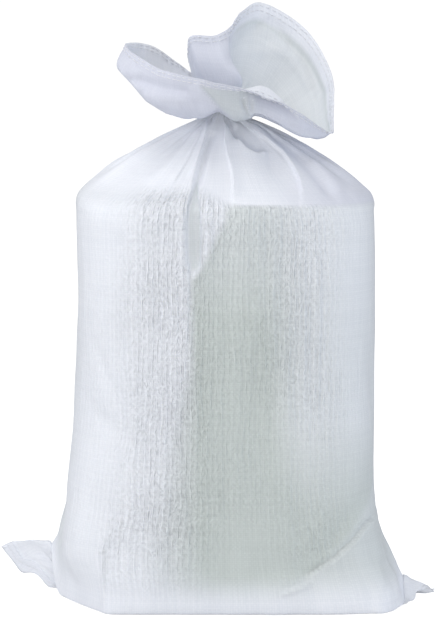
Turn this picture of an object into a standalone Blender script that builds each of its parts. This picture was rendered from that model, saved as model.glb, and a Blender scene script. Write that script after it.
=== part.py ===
"""A woven polypropylene sack, 55 x 105 cm when flat, filled and tied at its neck.

Five pieces: the woven cloth, the dry contents that fill it, the twine round the neck,
the thread of the bottom seam and the thread of the mouth hem. Metres, +Z up, front at -Y.
"""
import math
from collections import namedtuple

import bmesh
import bpy
import numpy as np
from mathutils import Vector

# Driving dimensions
CLOTH_WALL = 0.0012         # drawn thicker than the 0.25 mm cloth, so that it is a solid
BASE_WALL = 0.0035          # cloth under the contents, with the folded seam in it
FIT_GAP = 0.0003            # air between two pieces that touch
COLUMNS = 64                # points round the sack, a multiple of four
EDGE_POWER = 1.5            # how the ends of the base curl up towards the ears
CURL_START = 0.55           # share of a section's half width where its ends start to curl up
RIDGE_HALF = 0.055          # the ends of the base rise in a ridge this wide, towards the ears
RIDGE_TOP = 0.1             # sections above this height have no ridge: their whole ends rise

NECK_RADIUS = 0.014
NECK_LOW = 0.627
NECK_HIGH = 0.643
BORE_RADIUS = 0.0045        # the small way that is left through the gathered neck
BORE_HIGH = 0.651           # the cloth is thick where the gathers fan out above the neck

FLAP_HALF = 0.0015          # half the thickness of an ear, two layers of cloth
LIP_HALF = 0.0010           # half the width of the groove that holds the seam thread
GROOVE_DEPTH = 0.0018
THREAD_RADIUS = 0.0006
LEFT_TAIL = (-0.008, 0.0, 0.006)     # loose end of seam thread past each ear
RIGHT_TAIL = (0.0145, 0.0, 0.0085)
TAIL_CLEAR = (0.001, 0.0, -0.002)    # where the thread turns round the tip of an ear

HEM_THREAD_RADIUS = 0.0005
HEM_ROW = 6                 # the mouth row that the hem thread follows
TWINE_RADIUS = 0.0014
TWINE_TURNS = 3

PLEAT_COUNT = 16            # gathers between the contents and the neck
SLOPE_FACTOR = 1.6          # how much wider a sloping wall is when measured level
BORE_REACH = 0.004          # how far the bore runs down past the neck

# One level section: heights in the middle and at both ends, half sizes and corner shape
Section = namedtuple("Section", "middle left right half_left half_right front back squareness")
BODY_SECTIONS = [
    Section(0.0000, 0.052, 0.018, 0.2280, 0.2360, 0.133, 0.120, 6.0),
    Section(0.0060, 0.058, 0.024, 0.2240, 0.2360, 0.137, 0.128, 5.6),
    Section(0.0260, 0.072, 0.040, 0.2160, 0.2300, 0.140, 0.135, 4.4),
    Section(0.0680, 0.104, 0.078, 0.2090, 0.2110, 0.141, 0.137, 3.6),
    Section(0.1380, 0.148, 0.144, 0.2015, 0.1975, 0.141, 0.139, 3.1),
    Section(0.2180, 0.218, 0.218, 0.1925, 0.1955, 0.141, 0.139, 2.9),
    Section(0.3080, 0.308, 0.308, 0.1870, 0.1950, 0.141, 0.139, 2.8),
    Section(0.3980, 0.398, 0.398, 0.1862, 0.1985, 0.140, 0.138, 2.8),
    Section(0.4680, 0.468, 0.468, 0.1880, 0.2000, 0.138, 0.135, 2.8),
    Section(0.5030, 0.503, 0.503, 0.1885, 0.1990, 0.136, 0.131, 2.8),
    Section(0.5165, 0.5165, 0.5165, 0.1880, 0.1975, 0.132, 0.127, 2.7),
    Section(0.5245, 0.526, 0.526, 0.1850, 0.1930, 0.123, 0.118, 2.5),
]
SHOULDER_SECTIONS = [
    Section(0.5345, 0.537, 0.537, 0.1745, 0.1805, 0.109, 0.106, 2.3),
    Section(0.5555, 0.558, 0.558, 0.1475, 0.1530, 0.084, 0.083, 2.1),
    Section(0.5770, 0.578, 0.578, 0.1140, 0.1205, 0.062, 0.062, 2.0),
    Section(0.5985, 0.599, 0.599, 0.0750, 0.0860, 0.0425, 0.0425, 2.0),
    Section(0.6130, 0.6135, 0.6135, 0.0460, 0.0560, 0.0290, 0.0290, 2.0),
]
PLEAT_DEPTHS = [0.0015, 0.0040, 0.0055, 0.0050, 0.0035]   # one for each shoulder section

# The left corners of the foot are cut off by the line x CUT_X + y CUT_Y = CUT_AWAY, less and less up the wall
CUT_X = 0.824
CUT_Y = 0.566
CUT_AWAY = 0.1945
CUT_SLOPE = 0.3             # the rings nearer to the seam are cut this much sooner for each metre
CUT_REACH = 0.125
CUT_LOW = 0.03
CUT_HIGH = 0.13
CUT_CORNER = 20.0           # how sharp the corners of the cut are

# Rings between the bottom seam and the body: distance from the seam, then each ear's edge (x, z)
BaseRing = namedtuple("BaseRing", "reach left_x left_z right_x right_z")
BASE_RINGS = [
    BaseRing(0.000, 0.2870, 0.0472, 0.272, 0.0060),
    BaseRing(0.012, 0.2725, 0.0520, 0.262, 0.0130),
    BaseRing(0.034, 0.2510, 0.0600, 0.252, 0.0185),
    BaseRing(0.062, 0.2370, 0.0580, 0.244, 0.0195),
    BaseRing(0.092, 0.2310, 0.0530, 0.239, 0.0185),
]
# The height of the seam at each distance from the middle, where it leaves the floor for an ear
SEAM_LEFT = [(0.224, 0.0), (0.244, 0.014), (0.266, 0.020), (0.287, 0.0472)]
SEAM_RIGHT = [(0.245, 0.0), (0.256, 0.002), (0.272, 0.006)]
LIFT_START = 0.190          # the ears' upper edges rise from here
FILLED_LEFT = 0.228         # where the filled base ends and an ear starts
FILLED_RIGHT = 0.234
BASE_SQUARENESS = 6.0
EAR_START = 0.190           # the ears swing from here, the left one back and the right one forward
EAR_SWING = 0.43
SWING_LOW = 0.05            # and what stands higher than this swings less
SWING_HIGH = 0.11

# The flared mouth: share of the way round, the rim, and the point half way from neck to rim
MouthStation = namedtuple("MouthStation", "share rim halfway")
MOUTH_STATIONS = [
    MouthStation(0.000, (0.146, 0.020, 0.635), (0.095, 0.015, 0.611)),
    MouthStation(0.066, (0.143, 0.068, 0.682), (0.090, 0.046, 0.633)),
    MouthStation(0.139, (0.110, 0.102, 0.736), (0.071, 0.067, 0.666)),
    MouthStation(0.209, (0.053, 0.098, 0.770), (0.039, 0.067, 0.688)),
    MouthStation(0.245, (0.029, 0.070, 0.760), (0.020, 0.056, 0.691)),
    MouthStation(0.290, (0.012, 0.028, 0.740), (0.009, 0.034, 0.683)),
    MouthStation(0.326, (-0.010, 0.004, 0.727), (-0.008, 0.021, 0.680)),
    MouthStation(0.360, (-0.037, 0.004, 0.727), (-0.023, 0.015, 0.676)),
    MouthStation(0.385, (-0.043, 0.022, 0.711), (-0.027, 0.020, 0.672)),
    MouthStation(0.411, (-0.041, 0.040, 0.693), (-0.030, 0.030, 0.667)),
    MouthStation(0.436, (-0.037, 0.054, 0.680), (-0.032, 0.040, 0.662)),
    MouthStation(0.462, (-0.056, 0.059, 0.690), (-0.040, 0.041, 0.659)),
    MouthStation(0.513, (-0.091, 0.036, 0.714), (-0.067, 0.020, 0.660)),
    MouthStation(0.564, (-0.121, -0.002, 0.718), (-0.098, -0.010, 0.666)),
    MouthStation(0.590, (-0.117, -0.025, 0.709), (-0.103, -0.028, 0.660)),
    MouthStation(0.615, (-0.102, -0.042, 0.700), (-0.092, -0.045, 0.649)),
    MouthStation(0.655, (-0.076, -0.070, 0.686), (-0.066, -0.059, 0.635)),
    MouthStation(0.723, (-0.027, -0.108, 0.675), (-0.019, -0.078, 0.633)),
    MouthStation(0.773, (0.020, -0.110, 0.664), (0.017, -0.076, 0.626)),
    MouthStation(0.805, (0.048, -0.101, 0.654), (0.037, -0.070, 0.627)),
    MouthStation(0.840, (0.077, -0.088, 0.643), (0.059, -0.063, 0.621)),
    MouthStation(0.879, (0.104, -0.068, 0.628), (0.079, -0.050, 0.611)),
    MouthStation(0.914, (0.125, -0.045, 0.613), (0.095, -0.032, 0.603)),
    MouthStation(0.947, (0.142, -0.020, 0.604), (0.101, -0.011, 0.602)),
]
MOUTH_STEPS = (0.0, 0.15, 0.30, 0.46, 0.62, 0.78, 0.92, 1.0)    # rows of cloth from the neck to the rim

FLOOR_SHARES = (1.0, 0.6)   # the two rings of the floor inside the sack, as shares of its size
FLOOR_SIDE_INSET = 0.008    # the floor is a little smaller than the foot of the sack
FLOOR_CUT_INSET = 0.014
FLOOR_FRONT_INSET = 0.006
FLOOR_LEFT_DROP = 0.012

# The contents: how far each ring of the top has drawn in, and its height
TOP_RINGS = [(0.90, 0.521), (0.66, 0.531), (0.34, 0.537)]
TOP_HEIGHT = 0.539
TOP_SECTION = 9             # the body section that the level top starts from


def start_empty():
    """Remove the objects of the open scene, and give the part its collection."""
    for old in list(bpy.data.objects):
        bpy.data.objects.remove(old, do_unlink=True)
    parts = bpy.data.collections.new("woven_polypropylene_sack")
    bpy.context.scene.collection.children.link(parts)
    return parts


def make_material(name, colour, roughness):
    """A Principled material of one colour."""
    material = bpy.data.materials.new(name)
    material.use_nodes = True
    shader = material.node_tree.nodes["Principled BSDF"]
    shader.inputs["Base Color"].default_value = (*colour, 1.0)
    shader.inputs["Roughness"].default_value = roughness
    shader.inputs["Metallic"].default_value = 0.0
    material.diffuse_color = (*colour, 1.0)
    return material


def space_evenly(curve, count):
    """Count + 1 points along a fine 2D curve, the same length apart."""
    steps = np.hypot(*np.diff(curve, axis=0).T)
    along = np.concatenate([[0.0], np.cumsum(steps)])
    wanted = np.linspace(0.0, along[-1], count + 1)
    return np.stack([np.interp(wanted, along, curve[:, axis]) for axis in (0, 1)], axis=1)


def ring_from_quarters(quarter):
    """Join four quarters, given by their end and side, into one ring that runs anticlockwise.

    The quarters run from the right end to the back, to the left end, to the front and round.
    """
    right_back = quarter("right", "back")
    left_back = quarter("left", "back")
    left_front = quarter("left", "front")
    right_front = quarter("right", "front")
    flip_x = np.array([-1.0, 1.0])
    flip_y = np.array([1.0, -1.0])
    pieces = [
        right_back[:-1],
        (left_back * flip_x)[::-1][:-1],
        (left_front * flip_x * flip_y)[:-1],
        (right_front * flip_y)[::-1][:-1],
    ]
    return np.concatenate(pieces)


def even_step(low, high, value):
    """0 below low, 1 above high, and an even S between."""
    share = np.clip((value - low) / (high - low), 0.0, 1.0)
    return share * share * (3.0 - 2.0 * share)


def end_ridge(plan):
    """1 along the long axis of the sack, and nothing at the corners of its foot."""
    return np.exp(-((plan[:, 1] / RIDGE_HALF) ** 2))


def swung(ring, way=1.0):
    """The ring with its ears swung in plan; way -1 swings them straight again."""
    past = np.maximum(np.abs(ring[:, 0]) - EAR_START, 0.0)
    low = 1.0 - even_step(SWING_LOW, SWING_HIGH, ring[:, 2])
    result = ring.copy()
    result[:, 1] -= way * np.sign(ring[:, 0]) * EAR_SWING * past * low
    return result


def section_ring(section, inset=0.0, rise=0.0, cut_away=CUT_AWAY):
    """A level section with rounded corners, whose ends may stand higher than its middle."""
    ends = {"left": section.half_left - inset, "right": section.half_right - inset}
    sides = {"front": section.front - inset, "back": section.back - inset}
    power = section.squareness
    cut = (1.0 - even_step(CUT_LOW, CUT_HIGH, section.middle)) / (cut_away - inset)

    def quarter(end, side):
        angle = np.linspace(0.0, math.pi / 2, 400)
        across, along = np.cos(angle).clip(0.0), np.sin(angle).clip(0.0)
        box = ((across / ends[end]) ** power + (along / sides[side]) ** power) ** (1.0 / power)
        line = (CUT_X * across + CUT_Y * along) * (cut if end == "left" else 0.0)
        radius = (box**CUT_CORNER + line**CUT_CORNER) ** (-1.0 / CUT_CORNER)
        return space_evenly(np.stack([radius * across, radius * along], axis=1), COLUMNS // 4)

    plan = ring_from_quarters(quarter)
    share = np.where(plan[:, 0] < 0.0, -plan[:, 0] / ends["left"], plan[:, 0] / ends["right"])
    end_height = np.where(plan[:, 0] < 0.0, section.left, section.right)
    curl = ((share - CURL_START) / (1.0 - CURL_START)).clip(0.0, 1.0) ** EDGE_POWER
    if section.middle < RIDGE_TOP:
        curl = curl * end_ridge(plan)
    height = section.middle + (end_height - section.middle) * curl + rise
    return swung(np.column_stack([plan, height]))


def seam_height(plan):
    """The height of the seam at each point's distance from the middle."""
    away = np.abs(plan[:, 0])
    left, right = np.array(SEAM_LEFT), np.array(SEAM_RIGHT)
    return np.where(
        plan[:, 0] < 0.0, np.interp(away, left[:, 0], left[:, 1]), np.interp(away, right[:, 0], right[:, 1])
    )


def base_ring(ring):
    """A ring under the sack: flat with square corners in the middle, and drawn out into an ear at each end."""
    filled = {"left": FILLED_LEFT, "right": FILLED_RIGHT}
    tips = {"left": ring.left_x, "right": ring.right_x}

    def quarter(end, side):
        x = np.linspace(tips[end], 0.0, 800)
        y = ring.reach * (1.0 - (x / filled[end]).clip(0.0, 1.0) ** BASE_SQUARENESS) ** (1.0 / BASE_SQUARENESS)
        if end == "left":
            y = np.minimum(y, ((CUT_AWAY - CUT_SLOPE * (CUT_REACH - ring.reach) - CUT_X * x) / CUT_Y).clip(0.0))
        y = y + FLAP_HALF
        y[0] = 0.0
        return space_evenly(np.stack([x, y], axis=1), COLUMNS // 4)

    plan = ring_from_quarters(quarter)
    on_left = plan[:, 0] < 0.0
    tip = np.where(on_left, ring.left_x, ring.right_x)
    top = np.where(on_left, ring.left_z, ring.right_z)
    tips_below = seam_height(np.array([[-ring.left_x, 0.0], [ring.right_x, 0.0]]))
    above = top - np.where(on_left, tips_below[0], tips_below[1])
    lift = ((np.abs(plan[:, 0]) - LIFT_START) / (tip - LIFT_START)).clip(0.0, 1.0) ** EDGE_POWER
    height = seam_height(plan) + above * lift * end_ridge(plan)
    return swung(np.column_stack([plan, height]))


def groove_rows(seam):
    """The lip and the floor of the narrow groove along the seam, starting at its deepest row."""
    straight = swung(seam, -1.0)
    slope = np.roll(straight, -1, axis=0) - np.roll(straight, 1, axis=0)
    length = np.hypot(slope[:, 0], slope[:, 2]).clip(1e-9)
    inward = np.column_stack([-slope[:, 2] / length, np.zeros(len(seam)), slope[:, 0] / length])
    inward *= np.where(inward[:, 2:] < 0.0, -1.0, 1.0)
    ends = [0, COLUMNS // 2]
    inward[ends[0]] = (-1.0, 0.0, 0.0)
    inward[ends[1]] = (1.0, 0.0, 0.0)
    lip = straight.copy()
    lip[:, 1] *= LIP_HALF / FLAP_HALF
    lip[ends] += inward[ends] * FLAP_HALF
    floor = lip + inward * GROOVE_DEPTH
    return [swung(floor), swung(lip)], inward


def pleated(ring, depth):
    """The ring with gathers that push in and out across it."""
    angle = np.arange(COLUMNS) * (2.0 * math.pi * PLEAT_COUNT / COLUMNS)
    radius = np.hypot(ring[:, 0], ring[:, 1])
    result = ring.copy()
    result[:, :2] *= (1.0 + depth * np.cos(angle) / radius)[:, None]
    return result


def round_ring(radius, height):
    """A level circle of points."""
    angle = np.arange(COLUMNS) * (2.0 * math.pi / COLUMNS)
    return np.column_stack([radius * np.cos(angle), radius * np.sin(angle), np.full(COLUMNS, height)])


def closed_spline(shares, points):
    """A closed Catmull-Rom curve through the points, read at every column's share of the way round."""
    shares = np.array(shares)
    points = np.array(points)
    count = len(shares)
    knots = np.concatenate([shares, shares[:1] + 1.0])
    slopes = (np.roll(points, -1, axis=0) - np.roll(points, 1, axis=0))
    spans = (np.roll(shares, -1) - np.roll(shares, 1)) % 1.0
    slopes = slopes / spans[:, None]
    wanted = np.arange(COLUMNS) / COLUMNS
    first = np.searchsorted(knots, wanted, side="right") - 1
    second = (first + 1) % count
    width = (knots[first + 1] - knots[first])[:, None]
    step = (wanted - knots[first])[:, None] / width
    return (
        (2 * step**3 - 3 * step**2 + 1) * points[first]
        + (step**3 - 2 * step**2 + step) * width * slopes[first]
        + (-2 * step**3 + 3 * step**2) * points[second]
        + (step**3 - step**2) * width * slopes[second]
    )


def mouth_rows():
    """The outside of the flared mouth: each column is a parabola from the neck to the rim."""
    neck = round_ring(NECK_RADIUS, NECK_HIGH)
    shares = [station.share for station in MOUTH_STATIONS]
    rim = closed_spline(shares, [station.rim for station in MOUTH_STATIONS])
    halfway = closed_spline(shares, [station.halfway for station in MOUTH_STATIONS])
    pull = 2.0 * halfway - 0.5 * neck - 0.5 * rim
    return [(1 - w) ** 2 * neck + 2 * w * (1 - w) * pull + w**2 * rim for w in MOUTH_STEPS]


def outward_directions(rows):
    """The direction that faces out of the cloth at each point of the mouth rows."""
    grid = np.array(rows)
    around = np.roll(grid, -1, axis=1) - np.roll(grid, 1, axis=1)
    up = np.gradient(grid, axis=0)
    direction = np.cross(around, up)
    return direction / np.linalg.norm(direction, axis=2, keepdims=True)


def mesh_from_rows(rising_rows, falling_rows, start, end):
    """A closed mesh through rows that rise up the outside and fall again down the inside.

    Each end is closed by a ladder or by a fan to a point. A cell's four points are never quite
    flat, so every cell is split along the diagonal that leans the same way on the rising and the
    falling side, and surfaces that follow each other keep their distance.
    """
    mesh = bmesh.new()
    grid = [[mesh.verts.new(point) for point in row] for row in rising_rows + falling_rows]
    for step, (first, second) in enumerate(zip(grid, grid[1:])):
        rising = step < len(rising_rows)
        for i in range(COLUMNS):
            j = (i + 1) % COLUMNS
            if rising:
                corners = (first[i], first[j], second[j], second[i])
            else:
                corners = (first[j], second[j], second[i], first[i])
            mesh.faces.new((corners[0], corners[1], corners[2]))
            mesh.faces.new((corners[0], corners[2], corners[3]))
    for row, closing in ((grid[0], start), (grid[-1], end)):
        if closing == "ladder":
            close_with_ladder(mesh, row)
        else:
            tip = mesh.verts.new(closing)
            for i in range(COLUMNS):
                mesh.faces.new((row[i], row[(i + 1) % COLUMNS], tip))
    bmesh.ops.recalc_face_normals(mesh, faces=mesh.faces)
    return mesh


def close_with_ladder(mesh, row):
    """Close a ring with rungs between each point of its back half and the one opposite."""
    half = COLUMNS // 2
    mesh.faces.new((row[0], row[1], row[-1]))
    mesh.faces.new((row[half - 1], row[half], row[half + 1]))
    for i in range(1, half - 1):
        mesh.faces.new((row[i], row[i + 1], row[-i - 1], row[-i]))


def add_object(parts, name, mesh, material):
    """Put a finished mesh into the scene under its name."""
    data = bpy.data.meshes.new(name)
    mesh.to_mesh(data)
    mesh.free()
    data.materials.append(material)
    data.shade_smooth()
    data.set_sharp_from_angle(angle=math.radians(50.0))
    piece = bpy.data.objects.new(name, data)
    parts.objects.link(piece)
    return piece


def add_cord(parts, name, points, radius, closed, material):
    """A round cord through points, made as a bevelled curve with capped ends."""
    curve = bpy.data.curves.new(name, "CURVE")
    curve.dimensions = "3D"
    curve.bevel_depth = radius
    curve.bevel_resolution = 2
    curve.use_fill_caps = not closed
    spline = curve.splines.new("POLY")
    spline.points.add(len(points) - 1)
    for place, point in zip(spline.points, points):
        place.co = (*point, 1.0)
    spline.use_cyclic_u = closed
    curve.materials.append(material)
    piece = bpy.data.objects.new(name, curve)
    parts.objects.link(piece)
    return piece


def make_woven_cloth(parts):
    """The tube of cloth, sewn along the bottom, gathered at the neck and open at the mouth."""
    bases = [base_ring(ring) for ring in BASE_RINGS]
    groove, _ = groove_rows(bases[0])
    body = [section_ring(section) for section in BODY_SECTIONS]
    shoulders = [pleated(section_ring(s), depth) for s, depth in zip(SHOULDER_SECTIONS, PLEAT_DEPTHS)]
    neck = [round_ring(NECK_RADIUS, NECK_LOW)]
    mouth = mouth_rows()

    inside_mouth = [row - CLOTH_WALL * way for row, way in zip(mouth, outward_directions(mouth))]
    inside_mouth[0] = round_ring(BORE_RADIUS, BORE_HIGH)
    bore = [round_ring(BORE_RADIUS, NECK_LOW - BORE_REACH)]
    shoulder_insets = [SLOPE_FACTOR * CLOTH_WALL + depth for depth in PLEAT_DEPTHS]
    inside_shoulders = [
        section_ring(s, inset, rise=-CLOTH_WALL) for s, inset in zip(SHOULDER_SECTIONS, shoulder_insets)
    ]
    inside_body = [section_ring(section, CLOTH_WALL) for section in BODY_SECTIONS[2:]]
    floor = [inner_floor_ring(CLOTH_WALL, BASE_WALL, share) for share in FLOOR_SHARES]

    outside = groove + bases + body + shoulders + neck + mouth
    inside = inside_mouth[::-1] + bore + inside_shoulders[::-1] + inside_body[::-1] + floor
    mesh = mesh_from_rows(outside, inside, "ladder", "ladder")
    material = make_material("white_woven_polypropylene", (0.82, 0.84, 0.86), 0.42)
    return add_object(parts, "woven_cloth", mesh, material)


def inner_floor_ring(inset, height, share):
    """A ring of the floor inside the sack: level in the middle, with its ends curled up."""
    foot = BODY_SECTIONS[1]
    curl = share**4
    width = 0.5 + 0.5 * share
    section = foot._replace(
        middle=height,
        left=height + (foot.left - FLOOR_LEFT_DROP) * curl,
        right=height + foot.right * curl,
        half_left=(foot.half_left - FLOOR_SIDE_INSET) * width,
        half_right=(foot.half_right - FLOOR_SIDE_INSET) * width,
        front=(foot.front - FLOOR_FRONT_INSET) * share,
        back=(foot.back - FLOOR_FRONT_INSET) * share,
    )
    return section_ring(section, inset, cut_away=(CUT_AWAY - FLOOR_CUT_INSET) * width)


def make_contents(parts):
    """The dry fill, a fit gap away from the cloth, with a low dome on top."""
    inset = CLOTH_WALL + FIT_GAP
    floor = [inner_floor_ring(inset, BASE_WALL + FIT_GAP, share) for share in FLOOR_SHARES]
    body = [section_ring(section, inset) for section in BODY_SECTIONS[2 : TOP_SECTION + 1]]
    edge = body[-1]
    top = [edge * (share, share, 0.0) + (0.0, 0.0, height) for share, height in TOP_RINGS]
    middle = 0.5 * (BODY_SECTIONS[TOP_SECTION].half_right - BODY_SECTIONS[TOP_SECTION].half_left)
    mesh = mesh_from_rows(floor[::-1] + body + top, [], "ladder", (middle, 0.0, TOP_HEIGHT))
    material = make_material("dry_fill", (0.52, 0.50, 0.46), 0.9)
    return add_object(parts, "contents", mesh, material)


def make_neck_tie(parts):
    """White twine wound round the neck in touching turns, with its two ends laid along the back."""
    radius = NECK_RADIUS + FIT_GAP + TWINE_RADIUS
    pitch = 2.0 * TWINE_RADIUS + FIT_GAP
    middle = 0.5 * (NECK_LOW + NECK_HIGH)
    turns = np.linspace(-0.5 * TWINE_TURNS, 0.5 * TWINE_TURNS, 24 * TWINE_TURNS + 1)
    angle = 2.0 * math.pi * turns + 0.5 * math.pi
    winding = np.column_stack([radius * np.cos(angle), radius * np.sin(angle), middle + pitch * turns])
    points = [tuple(point) for point in winding]
    material = make_material("white_twine", (0.80, 0.80, 0.78), 0.7)
    return add_cord(parts, "neck_tie", points, TWINE_RADIUS, False, material)


def make_bottom_seam_thread(parts):
    """The sewing thread in the groove of the bottom seam, with a loose tail past each ear."""
    seam = base_ring(BASE_RINGS[0])
    _, inward = groove_rows(seam)
    straight = swung(seam, -1.0)
    half = COLUMNS // 2
    line = 0.5 * (straight[: half + 1] + straight[np.arange(COLUMNS, half - 1, -1) % COLUMNS])
    ways = inward[: half + 1]
    depth = np.full(half + 1, THREAD_RADIUS + FIT_GAP)
    outside = -(THREAD_RADIUS + 2.0 * FIT_GAP)
    depth[[1, half - 1]] = outside
    path = line[1:half] + ways[1:half] * depth[1:half, None]
    right_tip = line[0] + TAIL_CLEAR
    left_tip = line[half] + np.array(TAIL_CLEAR) * (-1.0, 1.0, 1.0)
    route = np.vstack([right_tip + RIGHT_TAIL, right_tip, path, left_tip, left_tip + LEFT_TAIL])
    points = [tuple(point) for point in swung(route)]
    material = make_material("white_sewing_thread", (0.86, 0.86, 0.85), 0.6)
    return add_cord(parts, "bottom_seam_thread", points, THREAD_RADIUS, False, material)


def make_mouth_hem_thread(parts):
    """The sewing thread that runs round the mouth, just below the rim, on the outside."""
    rows = mouth_rows()
    ways = outward_directions(rows)
    clear = FIT_GAP + HEM_THREAD_RADIUS
    points = [tuple(point) for point in rows[HEM_ROW] + clear * ways[HEM_ROW]]
    material = make_material("white_hem_thread", (0.86, 0.86, 0.85), 0.6)
    return add_cord(parts, "mouth_hem_thread", points, HEM_THREAD_RADIUS, True, material)


def stand_on_origin(pieces):
    """Move every piece so that the origin is under the middle of the whole sack."""
    bpy.context.view_layer.update()
    corners = np.array([piece.matrix_world @ corner_of(piece, i) for piece in pieces for i in range(8)])
    shift = -0.5 * (corners.min(axis=0) + corners.max(axis=0))
    for piece in pieces:
        piece.location = (shift[0], shift[1], 0.0)


def corner_of(piece, index):
    """One corner of a piece's own box."""
    return Vector(piece.bound_box[index])


def main():
    parts = start_empty()
    pieces = [
        make_woven_cloth(parts),
        make_contents(parts),
        make_neck_tie(parts),
        make_bottom_seam_thread(parts),
        make_mouth_hem_thread(parts),
    ]
    stand_on_origin(pieces)


main()
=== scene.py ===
import math

import bpy
import numpy as np
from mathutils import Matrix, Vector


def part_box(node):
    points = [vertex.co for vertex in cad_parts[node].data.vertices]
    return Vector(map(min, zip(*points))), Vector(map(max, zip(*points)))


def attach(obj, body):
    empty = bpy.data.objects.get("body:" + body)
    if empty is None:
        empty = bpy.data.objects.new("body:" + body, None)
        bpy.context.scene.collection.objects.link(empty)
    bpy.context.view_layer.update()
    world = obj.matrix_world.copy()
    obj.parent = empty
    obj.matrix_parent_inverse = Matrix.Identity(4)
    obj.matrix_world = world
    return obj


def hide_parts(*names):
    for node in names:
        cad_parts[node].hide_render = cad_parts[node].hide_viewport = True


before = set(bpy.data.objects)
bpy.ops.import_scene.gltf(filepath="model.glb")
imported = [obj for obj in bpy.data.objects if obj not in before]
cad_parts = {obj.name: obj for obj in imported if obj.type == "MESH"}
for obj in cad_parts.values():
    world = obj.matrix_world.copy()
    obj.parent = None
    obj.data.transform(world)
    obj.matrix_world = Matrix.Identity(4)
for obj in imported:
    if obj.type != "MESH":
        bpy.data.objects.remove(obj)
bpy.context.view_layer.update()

# A filled sack of white woven polypropylene: the cloth is worked out on grids that run
# round the sack (columns) and from the bottom seam to the mouth (rows), in metres.

tieLow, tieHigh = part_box("neck_tie")
neckAxis = np.array([0.5 * (tieLow[0] + tieHigh[0]), 0.5 * (tieLow[1] + tieHigh[1]), 0.0])

clothSettings = {
    "roundTube": 1.10,        # length of cloth round the tube
    "columns": 448,
    "frontColumns": 0.64,     # share of the body's columns on its front half, where the folds are
    "coarseColumns": 224,
    "bodyRows": 220,
    "mouthRows": 76,
    "floorGap": 0.0010,       # the folded hem lies between the cloth and the floor
    "thickness": 0.0004,
    "hemThickness": 0.0011,   # cloth folded twice
    "hemWidth": 0.017, "hemSoft": 0.0015,      # and half the width over which it thins
    "neckLength": 0.823,      # cloth from the seam to the neck, down the middle of the front
    "mouthLength": 0.180,     # cloth from the neck to the rim
}


def toLinear(hexText):
    # each channel c: c / 12.92 below 0.04045, and ((c + 0.055) / 1.055) to the power 2.4 above it
    channels = [int(hexText[i:i + 2], 16) / 255 for i in (1, 3, 5)]
    return [c / 12.92 if c <= 0.04045 else ((c + 0.055) / 1.055) ** 2.4 for c in channels] + [1.0]


def addNode(tree, kind, settings=None, links=None):
    # one node with its attributes or input values; a link comes from a socket or a node's first output
    node = tree.nodes.new(kind)
    for name, value in (settings or {}).items():
        if isinstance(name, int) or name in node.inputs:
            node.inputs[name].default_value = value
        else:
            setattr(node, name, value)
    for name, source in (links or {}).items():
        tree.links.new(source.outputs[0] if isinstance(source, bpy.types.Node) else source, node.inputs[name])
    return node


# Grids

def splineShare(f):
    # the four weights of a uniform cubic B-spline at the fraction f of a cell
    return np.stack([(1 - f) ** 3, 3 * f**3 - 6 * f**2 + 4, -3 * f**3 + 3 * f**2 + 3 * f + 1, f**3]) / 6


def softNoise(around, along, cellsAround, cellsAlong, seed):
    # smooth random heights: normal random numbers on a lattice that closes round the tube,
    # blended by cubic B-splines, so that a hump is about two cells wide
    lattice = np.random.default_rng(seed).standard_normal((cellsAlong + 4, cellsAround))
    x = np.mod(around, 1.0) * cellsAround
    y = np.clip(along, 0.0, 1.0) * cellsAlong + 1.0
    column, row = np.floor(x).astype(int), np.floor(y).astype(int)
    across, down = splineShare(x - column), splineShare(y - row)
    total = 0.0
    for j in range(4):
        for i in range(4):
            total = total + down[j] * across[i] * lattice[row + j - 1, (column + i - 1) % cellsAround]
    return 2.1 * total


def hermite(f, width, start, startSlope, end, endSlope):
    # the cubic from start to end over the width that has these slopes at its ends, at the fraction f
    return ((2 * f**3 - 3 * f**2 + 1) * start + (f**3 - 2 * f**2 + f) * width * startSlope
            + (3 * f**2 - 2 * f**3) * end + (f**3 - f**2) * width * endSlope)


def closedCurve(shares, points, wanted):
    # a closed Hermite curve, read at the wanted shares: its slope at a point is the chord of its neighbours
    shares, points = np.array(shares), np.array(points, float)
    knots = np.append(shares, shares[0] + 1.0)
    span = np.mod(np.roll(shares, -1) - np.roll(shares, 1), 1.0)
    slopes = (np.roll(points, -1, axis=0) - np.roll(points, 1, axis=0)) / span[:, None]
    wanted = np.mod(wanted - shares[0], 1.0) + shares[0]
    first = np.clip(np.searchsorted(knots, wanted, side="right") - 1, 0, len(shares) - 1)
    second = (first + 1) % len(shares)
    width = (knots[first + 1] - knots[first])[:, None]
    f = (wanted - knots[first])[:, None] / width
    return hermite(f, width, points[first], slopes[first], points[second], slopes[second])


def throughRows(knots, rows, wanted):
    # Hermite curves down the columns, through rings of points that stand at the knots
    knots, rows, wanted = np.array(knots), np.array(rows), np.array(wanted)
    gaps = np.diff(knots)[:, None, None]
    steps = np.diff(rows, axis=0) / gaps
    slopes = np.empty_like(rows)
    slopes[0], slopes[-1] = steps[0], steps[-1]
    slopes[1:-1] = (steps[:-1] * gaps[1:] + steps[1:] * gaps[:-1]) / (gaps[1:] + gaps[:-1])
    first = np.clip(np.searchsorted(knots, wanted, side="right") - 1, 0, len(knots) - 2)
    width = (knots[first + 1] - knots[first])[:, None, None]
    f = (wanted - knots[first])[:, None, None] / width
    return hermite(f, width, rows[first], slopes[first], rows[first + 1], slopes[first + 1])


def evenShares(count):
    # columns the same length of cloth apart
    return np.arange(count) / count


def closerInFront(count, share):
    # the front half of the tube, from 0.5 to 1 of the way round, gets this share of the columns
    return np.interp(evenShares(count), [0.0, 1.0 - share, 1.0], [0.0, 0.5, 1.0])


def fromPlace(around, place):
    # the shorter way round from the place, as a share
    return np.mod(around - place + 0.5, 1.0) - 0.5


def fromFront(around):
    # share of the way round from the middle of the front, above 0 towards +X
    return np.mod(around - 0.25, 1.0) - 0.5


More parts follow.
